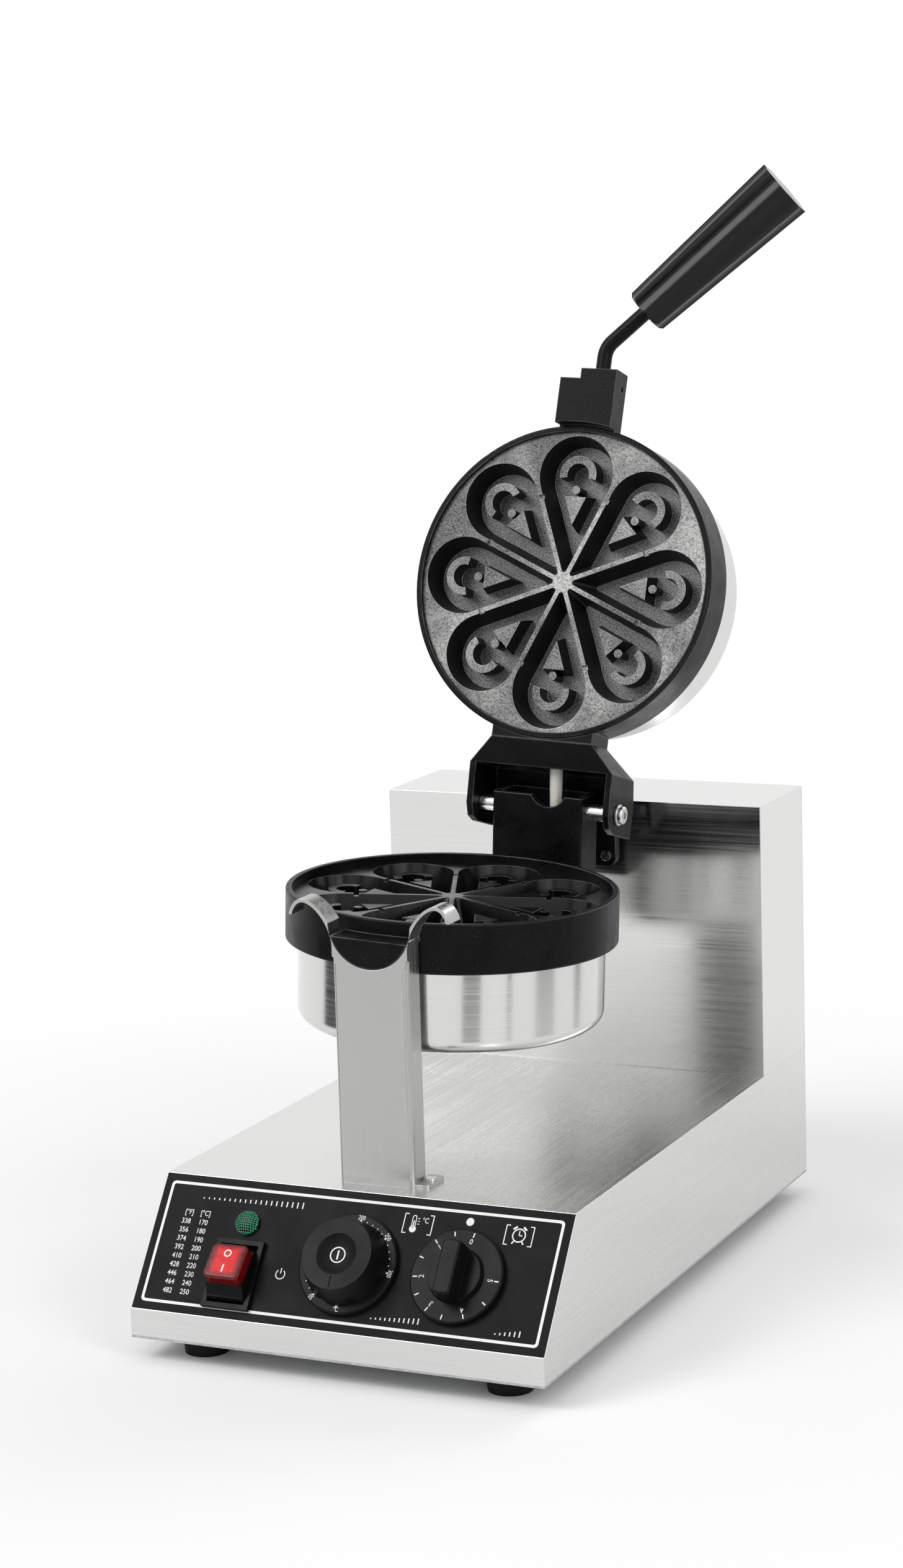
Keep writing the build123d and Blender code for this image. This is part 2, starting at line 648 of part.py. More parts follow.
# Cooking head, level, with the drum axis at the origin and Y measured from the pan's centre


def cast_ring(recess):
    """Ring with an inner ledge that carries its mould plate; the rim is at z = 0."""
    ring = bar_z(0, 0, -ring_height, 0, ring_radius)
    ring = fillet(ring.edges().group_by(Axis.Z)[-1], 1.0)
    ring -= bar_z(0, 0, -recess - plate_thick, 1, plate_radius)
    ring -= bar_z(0, 0, -ring_height - 1, 1, can_radius - 4)
    return ring


def without_inside(solid):
    return solid - bar_z(0, 0, -200, 200, plate_radius)


def can():
    """Polished cup that closes the head below its ring."""
    outer = bar_z(0, 0, -can_depth, -ring_height, can_radius)
    outer = fillet(outer.edges().group_by(Axis.Z)[0], can_corner)
    inner = bar_z(0, 0, -can_depth + can_wall, -ring_height + 1, can_radius - can_wall)
    inner = fillet(inner.edges().group_by(Axis.Z)[0], can_corner - can_wall)
    return outer - inner - bar_z(0, 0, -can_depth - 1, -can_depth + 5, can_screw_radius + 0.2)


def can_screw(recess):
    """Long central screw that pulls the cup against the ring."""
    z_plate = -recess - plate_thick
    return (bar_z(0, 0, -can_depth - 2.5, -can_depth, 5.0)
            + bar_z(0, 0, -can_depth - 0.1, z_plate + 2.5, can_screw_radius))


def heater(recess):
    """Tubular element under the mould, bent round with its two ends turned down."""
    z0 = -recess - plate_thick - heater_radius - 0.2
    ring = plate_radius - heater_inset
    start = (360 - heater_arc) / 2
    section = Pos(ring, 0, z0) * Rot(90, 0, 0) * Circle(heater_radius)
    arc = revolve(section, Axis.Z, heater_arc)
    arc = Rot(0, 0, start + 90) * arc
    for a in (start + 90, start + 90 + heater_arc):
        x, y = ring * cos(radians(a)), ring * sin(radians(a))
        arc += Pos(x, y, z0) * Sphere(heater_radius)
        arc += bar_z(x, y, z0 - 18, z0, heater_radius)
    return arc


def seated_plate(recess):
    plate = Pos(0, 0, -recess) * mould_plate(plate_thick)
    z0 = -recess - plate_thick
    return plate - bar_z(0, 0, z0 - 1, z0 + 3, can_screw_radius + hole_gap)


def lower_ring_housing():
    """Lower ring with its front trunnion and the rear arm that meets the hinge block."""
    ring = cast_ring(lower_recess)
    trunnion = bar_y(0, -ring_radius - trunnion_reach, -ring_radius + 8, half_gap,
                     cradle_radius - cradle_gap)
    trunnion -= box(-40, 40, -200, 0, -trunnion_drop + half_gap, 40)
    rear = box(-26, 26, ring_radius - 12, block_front, -26, -9)
    ring += without_inside(trunnion) + without_inside(rear)
    for x in block_screws_x:
        ring -= bar_y(x, block_front - 8, block_front + 1, block_screw_z + half_gap, block_screw_radius)
    return ring


def hinge_block():
    """Open-topped box between the pan and the shaft, with a round notch in its front wall."""
    x0, x1 = block_x0, block_x1
    block = box(x0, x1, block_front, block_back, block_z0, block_z1)
    block = fillet(block.edges().filter_by(Axis.Z), 2.0)
    block -= box(x0 + block_wall, x1 - block_wall, block_front + block_wall, block_back - block_wall,
                 block_z0 + block_wall, block_z1 + 1)
    notch = bar_y(notch_x, block_front - 1, block_front + block_wall + 1,
                  block_z1 - notch_drop + notch_half, notch_half)
    block -= notch
    block -= bar_y(0, block_back - block_wall - 1, block_back + 1, 0, shaft_radius)
    for s, x in ((-1, x0), (1, x1)):
        a, b = sorted((x - s * (block_wall + 1), x + s))
        block -= bar_x(a, b, pin_y0, hinge_rise, bolt_radius + hole_gap)
    for x in block_screws_x:
        block -= bar_y(x, block_front - 1, block_front + block_wall + 1, block_screw_z,
                       block_screw_radius + hole_gap)
    return block


def block_screws():
    y0 = block_front + block_wall
    return [bar_y(x, y0, y0 + 3, block_screw_z, 3.5)
            + bar_y(x, block_front - 7.5, y0 + 0.1, block_screw_z, block_screw_radius)
            for x in block_screws_x]


def pivot_shaft():
    """Hollow shaft; the wires of both heaters pass through it."""
    y0 = block_back - block_wall
    y1 = collar_y0 + collar_width + 6
    return bar_y(0, y0, y1, 0, shaft_radius) - bar_y(0, y0 - 1, y1 + 1, 0, shaft_bore)


def shaft_collar():
    """Ring behind the bearing that keeps the shaft from sliding out."""
    y1 = collar_y0 + collar_width
    ring = bar_y(0, collar_y0, y1, 0, collar_radius) - bar_y(0, collar_y0 - 1, y1 + 1, 0, shaft_radius)
    return ring - bar_z(0, collar_y0 + collar_width / 2, shaft_radius - 1, collar_radius + 1, lock_radius)


def collar_screw():
    return bar_z(0, collar_y0 + collar_width / 2, shaft_radius + 0.02, collar_radius - 0.5, lock_radius)


def hinge_side(sign):
    """x of the block's face, the arm's inner face and the arm's outer face on one side."""
    face = block_x1 if sign > 0 else block_x0
    return face, sign * arm_inner, sign * (arm_inner + arm_wall)


def between(a, b, radius):
    x0, x1 = sorted((a, b))
    return bar_x(x0, x1, pin_y0, hinge_rise, radius)


def hinge_bolts():
    bolts = []
    for s in (-1, 1):
        face, _, outer = hinge_side(s)
        seat = outer + s * (side_gap + washer_thick)
        head = between(seat, seat + s * head_thick, bolt_head)
        head = fillet(head.edges().filter_by(GeomType.CIRCLE).sort_by(Axis.X)[0 if s < 0 else -1], 1.5)
        socket = Pos(seat + s * head_thick, pin_y0, hinge_rise) * Rot(0, 90, 0) * extrude(
            RegularPolygon(2.4, 6), 2, both=True)
        bolts.append(head - socket + between(seat + s * 0.1, face - s * (block_wall + 5), bolt_radius))
    return bolts


def hinge_washers():
    washers = []
    for s in (-1, 1):
        _, _, outer = hinge_side(s)
        start = outer + s * side_gap
        washers.append(between(start, start + s * washer_thick, bolt_head + 1)
                       - between(start - s, start + s * 3, bolt_radius + 0.05))
    return washers


def hinge_spacers():
    """Sleeves that keep the lid's arms clear of the block."""
    spacers = []
    for s in (-1, 1):
        face, inner, _ = hinge_side(s)
        spacers.append(between(face, inner - s * side_gap, 5.0)
                       - between(face - s, inner + s, bolt_radius + 0.05))
    return spacers


def hinge_nuts():
    nuts = []
    for s in (-1, 1):
        face, _, _ = hinge_side(s)
        seat = face - s * block_wall
        nut = Pos(seat - s * 2.25, pin_y0, hinge_rise) * Rot(0, 90, 0) * extrude(
            RegularPolygon(5.4, 6), 2.2, both=True)
        nuts.append(nut - between(seat - s * 6, seat + s, bolt_radius + 0.02))
    return nuts


def wire_sleeve():
    """Insulating sleeve that stands in the block's notch and carries the lid heater's wires."""
    return (bar_z(sleeve_x, pin_y0 + 1, sleeve_z0, hinge_rise + 19, sleeve_radius)
            - bar_z(sleeve_x, pin_y0 + 1, sleeve_z0 - 1, hinge_rise + 20, sleeve_radius - sleeve_wall))


# Lid, shut and level in the same frame as the head; above the rim plane


def upside_down(solid):
    return Rot(180, 0, 0) * solid


def upper_ring_housing():
    """Upper ring with the handle's block in front and a flat boss for the hinge bracket behind."""
    ring = upside_down(cast_ring(upper_recess))
    block = box(block_left, block_right, -ring_radius - block_reach, -ring_radius + 8, -40, 40)
    tail = -ring_radius - block_tail
    block += box(block_step_x, block_right, tail, -ring_radius, -40, 40)
    keep = bar_y(0, tail - 1, 0, -half_gap, cradle_radius - cradle_gap)
    keep -= box(-40, 40, -200, 0, -40, -trunnion_drop + 2 * half_gap)
    keep -= box(-40, 40, -200, 0, block_top, 40)
    block = block & keep
    # The block's root stays clear of the lower ring, which stands inside this radius.
    block -= bar_z(0, 0, -40, 0, ring_radius + block_clear)
    block -= bar_z(0, 0, -1, 40, plate_radius)
    block -= bar_y(rod_x, tail - 1, tail + rod_seat, rod_z, rod_radius)
    boss = without_inside(box(-boss_half, boss_half, ring_radius - 14, ring_radius + boss_back,
                              1.0, ring_height - 1))
    for x in bracket_screws_x:
        boss -= bar_y(x, hood_y0 - 3.4, hood_y0 + 1, bracket_screw_z - half_gap, bracket_screw_radius)
    block -= bar_x(rod_x, block_right + 1, tail + rod_seat / 2, rod_z, lock_radius)
    return ring + block + boss


def hinge_bracket():
    """Hood that flares from the ring to two side arms, which hang on the hinge bolts."""
    outer_x = arm_inner + arm_wall
    wall = arm_wall

    def section(y, half, low, high):
        return make_face(Polyline((-half, y, low), (half, y, low), (half, y, high), (-half, y, high),
                                  close=True))
    hood = loft([section(hood_y0, boss_half, hood_low0, hood_high0),
                 section(hood_y1, outer_x, hood_low1, hood_high1)], ruled=True)
    inside = loft([section(hood_y0 + wall, boss_half - wall + 2, hood_low0 + wall, hood_high0 - wall + 1),
                   section(hood_y1 + 0.5, arm_inner, hood_low1 + wall, hood_high1 - wall)], ruled=True)
    arm_top = hinge_rise + arm_high
    arm_bend = pin_y0 - 0.6 * arm_end
    arm = [(hood_y1, hood_low1), (pin_y0 + 0.2 * arm_end, hinge_rise - 14.5),
           (pin_y0 + 0.8 * arm_end, hinge_rise - 10), (pin_y0 + arm_end, hinge_rise - 2),
           (pin_y0 + arm_end, arm_top), (arm_bend, arm_top), (hood_y1, hood_high1)]
    top_wall = [(hood_y1, hood_high1), (arm_bend, arm_top), (pin_y0 + hood_end, arm_top),
                (pin_y0 + hood_end, arm_top - wall), (arm_bend, arm_top - wall), (hood_y1, hood_high1 - wall)]
    bracket = hood - inside + prism_x(top_wall, -outer_x, outer_x)
    for s in (-1, 1):
        x0, x1 = sorted((s * arm_inner, s * outer_x))
        plate = prism_x(arm, x0, x1)
        plate -= bar_x(x0 - 1, x1 + 1, pin_y0, hinge_rise, bolt_radius + running)
        bracket += plate
    for x in bracket_screws_x:
        bracket -= bar_y(x, hood_y0 - 1, hood_y0 + wall + 1, bracket_screw_z,
                         bracket_screw_radius + hole_gap)
    bracket -= bar_y(sleeve_x, hood_y0 - 1, hood_y0 + wall + 1, bracket_screw_z, sleeve_radius + hole_gap)
    return bracket


def bracket_screws():
    y0 = hood_y0 + arm_wall
    return [bar_y(x, y0, y0 + 2.5, bracket_screw_z, 3.3)
            + bar_y(x, hood_y0 - 2.9, y0 + 0.1, bracket_screw_z, bracket_screw_radius)
            for x in bracket_screws_x]


def lid_wire_sleeve():
    """Lid's end of the insulating sleeve, through the bracket's back wall."""
    return (bar_y(sleeve_x, hood_y0, hood_y0 + 12, bracket_screw_z, sleeve_radius)
            - bar_y(sleeve_x, hood_y0 - 1, hood_y0 + 13, bracket_screw_z, sleeve_radius - sleeve_wall))


def handle_path():
    """Corner of the handle in the lid's plane and the direction after its bend."""
    return (rod_x, -ring_radius - rod_reach), (sin(radians(handle_turn)), -cos(radians(handle_turn)))


def handle_rod():
    (cx, cy), (dx, dy) = handle_path()
    y0 = -ring_radius - block_tail + rod_seat
    reach = grip_start + rod_in_grip
    path = FilletPolyline((cx, y0, rod_z), (cx, cy, rod_z), (cx + dx * reach, cy + dy * reach, rod_z),
                          radius=rod_bend)
    section = Plane((cx, y0, rod_z), z_dir=(0, -1, 0)) * Circle(rod_radius)
    return sweep(section, path=path)


def handle_grip():
    """Fluted grip that widens towards its flat end."""
    (cx, cy), (dx, dy) = handle_path()
    length = grip_end - grip_start
    grip = Pos(0, 0, length / 2) * Cone(grip_small, grip_large, length)
    grip = chamfer(grip.edges().group_by(Axis.Z)[0], 1.5)
    lean = degrees(atan2(grip_large - grip_small, length))
    for k in range(flutes):
        groove = Pos(grip_small + flute_radius - flute_depth, 0, 0) * Rot(0, lean, 0) * Pos(
            0, 0, length / 2) * Cylinder(flute_radius, length * 1.5)
        grip -= Rot(0, 0, 360 / flutes * k) * groove
    grip -= bar_z(0, 0, -1, rod_in_grip, rod_radius)
    seat = Plane((cx + dx * grip_start, cy + dy * grip_start, rod_z), x_dir=(0, 0, 1), z_dir=(dx, dy, 0))
    return seat.location * grip


def handle_lock_screw():
    """Grub screw across the block that holds the rod."""
    y = -ring_radius - block_tail + rod_seat / 2
    return bar_x(rod_x + rod_radius + 0.02, block_right - 1.5, y, rod_z, lock_radius)


# Placing


def place_head(solid, lift=0.0):
    """Level head to its place, turned by head_roll about the drum axis."""
    return Pos(0, pan_y, drum_z) * Rot(0, head_roll, 0) * Pos(0, 0, lift) * solid


def place_lid(solid, lift=0.0):
    """Shut lid to its open place: swung about the hinge pin, then placed with the head."""
    swing = Pos(0, pin_y0, hinge_rise) * Rot(-lid_open, 0, 0) * Pos(0, -pin_y0, -hinge_rise)
    return place_head(swing * Pos(0, 0, lift) * solid)


def each(solids, placing, lift=0.0):
    return [placing(s, lift) for s in solids]


def write(name, shape):
    if isinstance(shape, list):
        shape = Compound([s.solid() for s in shape])
    export_step(shape, os.path.join("parts", name + ".step"))


os.makedirs("parts", exist_ok=True)

# The base and what is fixed to it
write("base_shell", base_shell())
write("base_bottom_plate", base_bottom_plate())
write("feet", feet())
write("feet_screws", feet_screws())
write("fascia_panel", fascia_panel())
write("column_cover", column_cover())
write("column_back_panel", column_back_panel())
write("back_screws", back_screws())
write("column_screws", column_screws())
write("bearing_housing", bearing_housing())
write("shaft_bush", shaft_bush())
write("bearing_screws", bearing_screws())
write("front_post", front_post())
write("post_screws", post_screws())
write("switch_housing", switch_housing())
write("switch_terminals", switch_terminals())
write("pilot_lamp_lens", pilot_lamp_lens())
write("pilot_lamp_body", pilot_lamp_body())
write("thermostat_body", thermostat_body())
write("timer_body", timer_body())
write("timer_bell", timer_bell())
write("control_screws", control_screws())
write("terminal_block", terminal_block())
write("cable_gland", cable_gland())
write("gland_nut", gland_nut())

# Controls that move
write("power_rocker", power_rocker())
write("rocker_cap", rocker_cap())
write("temperature_dial", dial_disc(temperature_u, temperature_radius))
write("temperature_knob", temperature_knob())
write("temperature_spindle", spindle(temperature_u))
write("timer_dial", dial_disc(timer_u, timer_radius))
write("timer_knob", timer_knob())
write("timer_spindle", spindle(timer_u))

# The lower half of the cooking head, which turns with the shaft
write("lower_ring_housing", place_head(lower_ring_housing(), -half_gap))
write("lower_mould_plate", place_head(seated_plate(lower_recess), -half_gap))
write("lower_heater", place_head(heater(lower_recess), -half_gap))
write("lower_can", place_head(can(), -half_gap))
write("lower_can_screw", place_head(can_screw(lower_recess), -half_gap))
write("hinge_block", place_head(hinge_block()))
write("block_screws", each(block_screws(), place_head))
write("pivot_shaft", place_head(pivot_shaft()))
write("shaft_collar", place_head(shaft_collar()))
write("collar_screw", place_head(collar_screw()))
write("hinge_bolts", each(hinge_bolts(), place_head))
write("hinge_washers", each(hinge_washers(), place_head))
write("hinge_spacers", each(hinge_spacers(), place_head))
write("hinge_nuts", each(hinge_nuts(), place_head))
write("wire_sleeve", place_head(wire_sleeve()))

# The lid
write("upper_ring_housing", place_lid(upper_ring_housing(), half_gap))
write("upper_mould_plate", place_lid(upside_down(seated_plate(upper_recess)), half_gap))
write("upper_heater", place_lid(upside_down(heater(upper_recess)), half_gap))
write("upper_can", place_lid(upside_down(can()), half_gap))
write("upper_can_screw", place_lid(upside_down(can_screw(upper_recess)), half_gap))
write("hinge_bracket", place_lid(hinge_bracket()))
write("bracket_screws", each(bracket_screws(), place_lid))
write("lid_wire_sleeve", place_lid(lid_wire_sleeve()))
write("handle_rod", place_lid(handle_rod(), half_gap))
write("handle_grip", place_lid(handle_grip(), half_gap))
write("handle_lock_screw", place_lid(handle_lock_screw(), half_gap))
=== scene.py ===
"""Countertop waffle maker with its lid open: finishes, marks and studio. Metres, +Z up, front at -Y."""
import json
from math import cos, pi, radians, sin

import bmesh
import bpy
from mathutils import Matrix, Vector

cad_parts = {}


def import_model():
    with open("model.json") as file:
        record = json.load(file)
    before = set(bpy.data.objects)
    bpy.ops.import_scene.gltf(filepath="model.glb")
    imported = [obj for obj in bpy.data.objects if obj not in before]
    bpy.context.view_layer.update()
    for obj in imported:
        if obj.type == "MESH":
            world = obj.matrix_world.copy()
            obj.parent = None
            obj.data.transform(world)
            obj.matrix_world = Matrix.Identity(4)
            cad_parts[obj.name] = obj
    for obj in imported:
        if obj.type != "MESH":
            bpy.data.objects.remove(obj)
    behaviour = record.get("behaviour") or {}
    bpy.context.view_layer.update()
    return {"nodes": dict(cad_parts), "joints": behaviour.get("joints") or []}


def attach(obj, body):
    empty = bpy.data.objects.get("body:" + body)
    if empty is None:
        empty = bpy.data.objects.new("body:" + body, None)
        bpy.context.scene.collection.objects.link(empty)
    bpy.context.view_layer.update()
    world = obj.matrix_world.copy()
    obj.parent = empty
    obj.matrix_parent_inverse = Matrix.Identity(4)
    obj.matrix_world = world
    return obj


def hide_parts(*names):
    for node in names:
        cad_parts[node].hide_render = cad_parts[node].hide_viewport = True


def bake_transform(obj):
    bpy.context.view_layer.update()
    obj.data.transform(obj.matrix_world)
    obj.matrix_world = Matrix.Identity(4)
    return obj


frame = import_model()
nodes = frame["nodes"]
joints = {joint["name"]: joint for joint in frame["joints"]}

MM = 0.001
ACROSS = Vector((1, 0, 0))
LID_OPEN = radians(106)                      # how far the lid stands from shut
PIN = Vector((0, 137.0, 22.5)) * MM          # hinge pin in the head's own frame
KNOB_V = 38.3                                # knobs' height up the panel
TEMPERATURE_U, TIMER_U = 1.0, 66.4
SWITCH_U, SWITCH_V, SWITCH_SINK = -66.8, 25.4, 3.0
ROCKER_TILT = radians(11)
DIAL_TOP = 4.0                               # dial's face above the panel
CAP_TOP = 18.0                               # red cap's face above the rocker's pivot
INK_THICK = 0.08


def axes_matrix(x, y, z, origin):
    matrix = Matrix((x, y, z)).transposed().to_4x4()
    matrix.translation = origin
    return matrix


def joint_at(name):
    return Vector(joints[name]["pos_m"])


def panel_frame():
    """Origin at the panel's lower edge, x across, y up the slope, z out of the panel."""
    out = Vector(joints["temperature_turn"]["axis"]).normalized()
    up = out.cross(ACROSS)
    corner = joint_at("temperature_turn") - up * KNOB_V * MM - ACROSS * TEMPERATURE_U * MM
    return axes_matrix(ACROSS, up, out, corner)


def head_frame():
    """Drum axis at the pan's centre, tilted with the head."""
    x = Vector(joints["lid_hinge"]["axis"]).normalized()
    y = Vector((0, 1, 0))
    return axes_matrix(x, y, x.cross(y), joint_at("drum_flip"))


PANEL = panel_frame()
HEAD = head_frame()
LID = HEAD @ Matrix.Translation(PIN) @ Matrix.Rotation(-LID_OPEN, 4, "X") @ Matrix.Translation(-PIN)


def on_panel(u, v, w=0.0):
    return PANEL @ Matrix.Translation(Vector((u, v, w)) * MM)


ROCKER = on_panel(SWITCH_U, SWITCH_V, -SWITCH_SINK) @ Matrix.Rotation(-ROCKER_TILT, 4, "X")


# Node helpers


class Paint:
    """A material with short calls for the nodes that repeat."""

    def __init__(self, name, color, roughness, metallic=0.0, **sockets):
        self.material = bpy.data.materials.new(name)
        self.material.use_nodes = True
        self.tree = self.material.node_tree
        self.shader = self.tree.nodes["Principled BSDF"]
        self.set("Base Color", (*color, 1.0))
        self.set("Roughness", roughness)
        self.set("Metallic", metallic)
        for socket, value in sockets.items():
            self.set(socket.replace("_", " "), value)

    def set(self, socket, value):
        self.shader.inputs[socket].default_value = value

    def node(self, kind, **settings):
        made = self.tree.nodes.new("ShaderNode" + kind)
        for name, value in settings.items():
            setattr(made, name, value)
        return made

    def join(self, output, target):
        self.tree.links.new(output, target)

    def feed(self, output, socket):
        self.join(output, self.shader.inputs[socket])

    def place(self, matrix=None, scale=(1, 1, 1), kind="Object"):
        """Coordinates in a local frame, in units of 1 / scale metres."""
        vector = self.node("TexCoord").outputs[kind]
        if matrix is not None:
            back = matrix.inverted()
            turn = self.node("Mapping", vector_type="POINT" if kind == "Object" else "VECTOR")
            turn.inputs["Rotation"].default_value = back.to_euler()
            if kind == "Object":
                turn.inputs["Location"].default_value = back.translation
            self.join(vector, turn.inputs["Vector"])
            vector = turn.outputs["Vector"]
        stretch = self.node("VectorMath", operation="MULTIPLY")
        self.join(vector, stretch.inputs[0])
        stretch.inputs[1].default_value = scale
        return stretch.outputs[0]

    def axis(self, vector, name):
        parts = self.node("SeparateXYZ")
        self.join(vector, parts.inputs[0])
        return parts.outputs[name]

    def noise(self, vector, detail=3.0, roughness=0.55):
        made = self.node("TexNoise")
        self.join(vector, made.inputs["Vector"])
        made.inputs["Scale"].default_value = 1.0
        made.inputs["Detail"].default_value = detail
        made.inputs["Roughness"].default_value = roughness
        return made.outputs["Fac"]

    def remap(self, value, low, high, to_low=0.0, to_high=1.0):
        made = self.node("MapRange")
        self.join(value, made.inputs["Value"])
        for socket, number in zip(("From Min", "From Max", "To Min", "To Max"), (low, high, to_low, to_high)):
            made.inputs[socket].default_value = number
        return made.outputs["Result"]

    def math(self, operation, a, b):
        made = self.node("Math", operation=operation)
        for socket, value in zip(made.inputs, (a, b)):
            if isinstance(value, (int, float)):
                socket.default_value = value
            else:
                self.join(value, socket)
        return made.outputs[0]

    def blend(self, factor, a, b):
        """Colour a where factor is 0 and b where it is 1; each a colour or an output."""
        made = self.node("Mix", data_type="RGBA")
        self.join(factor, made.inputs["Factor"])
        for name, value in (("A", a), ("B", b)):
            socket = [s for s in made.inputs if s.name == name and s.type == "RGBA"][0]
            if isinstance(value, tuple):
                socket.default_value = (*value, 1.0)
            else:
                self.join(value, socket)
        return [s for s in made.outputs if s.type == "RGBA"][0]

    def bump(self, height, distance, edge=None):
        """Surface relief; edge is the radius, in metres, that softens sharp corners."""
        made = self.node("Bump")
        made.inputs["Strength"].default_value = 1.0
        made.inputs["Distance"].default_value = distance
        self.join(height, made.inputs["Height"])
        if edge:
            self.join(self.rounded(edge), made.inputs["Normal"])
        self.feed(made.outputs["Normal"], "Normal")

    def rounded(self, radius):
        soft = self.node("Bevel", samples=4)
        soft.inputs["Radius"].default_value = radius
        return soft.outputs["Normal"]

    def length(self, vector):
        """A vector's length, here the distance from a frame's origin."""
        made = self.node("VectorMath", operation="LENGTH")
        self.join(vector, made.inputs[0])
        return made.outputs["Value"]

    def edges(self, radius, low=0.80, high=0.995):
        """1 on sharp corners and 0 on flats: marks where a coating wears, and where an edge highlight is
        painted.
        """
        dot = self.node("VectorMath", operation="DOT_PRODUCT")
        self.join(self.rounded(radius), dot.inputs[0])
        self.join(self.node("NewGeometry").outputs["Normal"], dot.inputs[1])
        return self.remap(dot.outputs["Value"], high, low)


# Metals


def brushed(name, color, fine, rough, place=None, smudge=0.05, edge=0.0006, relief=0.000002):
    """Brushed stainless: fine scratches run along the axis whose scale in fine is small.

    Where they run front to back, faces that look forward take the same scratches from side to side.
    """
    steel = Paint(name, color, 0.2, metallic=1.0)
    scratches = steel.noise(steel.place(place, fine), detail=4.0, roughness=0.7)
    if fine[1] < fine[0]:
        across = steel.noise(steel.place(place, (fine[1], fine[0], fine[2])), detail=4.0, roughness=0.7)
        frontal = steel.math("ABSOLUTE", steel.axis(steel.place(kind="Normal"), "Y"), 0)
        scratches = steel.blend(steel.remap(frontal, 0.5, 0.7), scratches, across)
    clouds = steel.noise(steel.place(place, (14, 14, 14)), detail=3.0)
    darker = tuple(c * 0.95 for c in color)
    steel.feed(steel.blend(steel.remap(scratches, 0.35, 0.65), darker, color), "Base Color")
    streaks = steel.remap(scratches, 0.3, 0.7, rough[0], rough[1])
    handled = steel.remap(clouds, 0.4, 0.7, 0.0, smudge)
    steel.feed(steel.math("ADD", streaks, handled), "Roughness")
    steel.bump(scratches, relief, edge=edge)
    return steel


def along_axis(steel, place, amount):
    """Stretches the highlights of a surface brushed round an axis, which is z of place."""
    flat = steel.node("VectorMath", operation="MULTIPLY_ADD")
    steel.join(steel.place(place), flat.inputs[0])
    flat.inputs[1].default_value = (10, 10, 0)
    flat.inputs[2].default_value = (0, 0, 1)
    turn = steel.node("Mapping", vector_type="VECTOR")
    turn.inputs["Rotation"].default_value = place.to_euler()
    steel.join(flat.outputs[0], turn.inputs["Vector"])
    to_world = steel.node("VectorTransform", vector_type="VECTOR", convert_from="OBJECT", convert_to="WORLD")
    steel.join(turn.outputs[0], to_world.inputs[0])
    steel.feed(to_world.outputs[0], "Tangent")
    steel.set("Anisotropic", amount)
    return steel


STEEL = (0.74, 0.74, 0.73)


def base_steel():
    return brushed("base steel", STEEL, (900, 7, 900), (0.16, 0.30))


def column_steel():
    return brushed("column steel", STEEL, (6, 900, 900), (0.08, 0.20))


def post_steel():
    steel = brushed("post steel", (0.50, 0.50, 0.49), (420, 420, 9), (0.20, 0.38), relief=0.00002)
    steel.set("Anisotropic", 0.4)
    return steel


def can_steel(name, place):
    steel = brushed(name, (0.70, 0.70, 0.69), (4, 4, 1400), (0.12, 0.24), place=place)
    return along_axis(steel, place, 0.7)


def zinc():
    metal = Paint("zinc sheet", (0.5, 0.5, 0.5), 0.4, metallic=1.0)
    spangle = metal.node("TexVoronoi", feature="F1")
    metal.join(metal.place(scale=(90, 90, 90)), spangle.inputs["Vector"])
    tone = metal.axis(spangle.outputs["Color"], "X")
    metal.feed(metal.blend(tone, (0.42, 0.43, 0.44), (0.58, 0.59, 0.60)), "Base Color")
    metal.feed(metal.remap(tone, 0, 1, 0.32, 0.5), "Roughness")
    return metal


def screw_steel():
    metal = Paint("screw steel", (0.72, 0.72, 0.70), 0.2, metallic=1.0)
    grain = metal.noise(metal.place(scale=(900, 900, 900)), detail=4.0)
    metal.feed(metal.remap(grain, 0.3, 0.7, 0.14, 0.34), "Roughness")
    metal.bump(grain, 0.00001, edge=0.0003)
    return metal


def heater_steel():
    metal = Paint("heater steel", (0.3, 0.29, 0.27), 0.45, metallic=1.0)
    tint = metal.noise(metal.place(scale=(60, 60, 60)))
    metal.feed(metal.blend(tint, (0.22, 0.19, 0.17), (0.34, 0.33, 0.36)), "Base Color")
    return metal


def brass():
    metal = Paint("brass", (0.75, 0.55, 0.25), 0.3, metallic=1.0)
    grain = metal.noise(metal.place(scale=(400, 400, 400)))
    metal.feed(metal.remap(grain, 0.3, 0.7, 0.2, 0.42), "Roughness")
    metal.bump(grain, 0.00001)
    return metal


# Coatings


def cast_black():
    """Satin black stove enamel on a casting: small pits, and grey along its corners that is partly worn metal
    and partly a painted highlight.
    """
    worn, dark = (0.22, 0.22, 0.23), (0.003, 0.003, 0.0035)
    coat = Paint("cast black", dark, 0.4, Specular_IOR_Level=0.10)
    pits = coat.noise(coat.place(scale=(700, 700, 700)), detail=3.0, roughness=0.6)
    patches = coat.noise(coat.place(scale=(60, 60, 60)), detail=4.0)
    specks = coat.remap(coat.noise(coat.place(scale=(1400, 1400, 1400)), detail=1.0), 0.70, 0.78)
    body = coat.blend(coat.remap(patches, 0.35, 0.7), dark, tuple(c * 2.2 for c in dark))
    body = coat.blend(coat.math("MULTIPLY", specks, 0.25), body, worn)
    # Grey on the corners is partly wear and partly a painted edge highlight.
    corners = coat.edges(0.0012, 0.72, 0.985)
    worn_and_highlit_corners = coat.math("MULTIPLY", corners, coat.remap(patches, 0.35, 0.60, 0.25, 1.0))
    coat.feed(coat.blend(worn_and_highlit_corners, body, worn), "Base Color")
    coat.feed(coat.remap(patches, 0.3, 0.7, 0.24, 0.42), "Roughness")
    coat.bump(pits, 0.00008, edge=0.0007)
    return coat


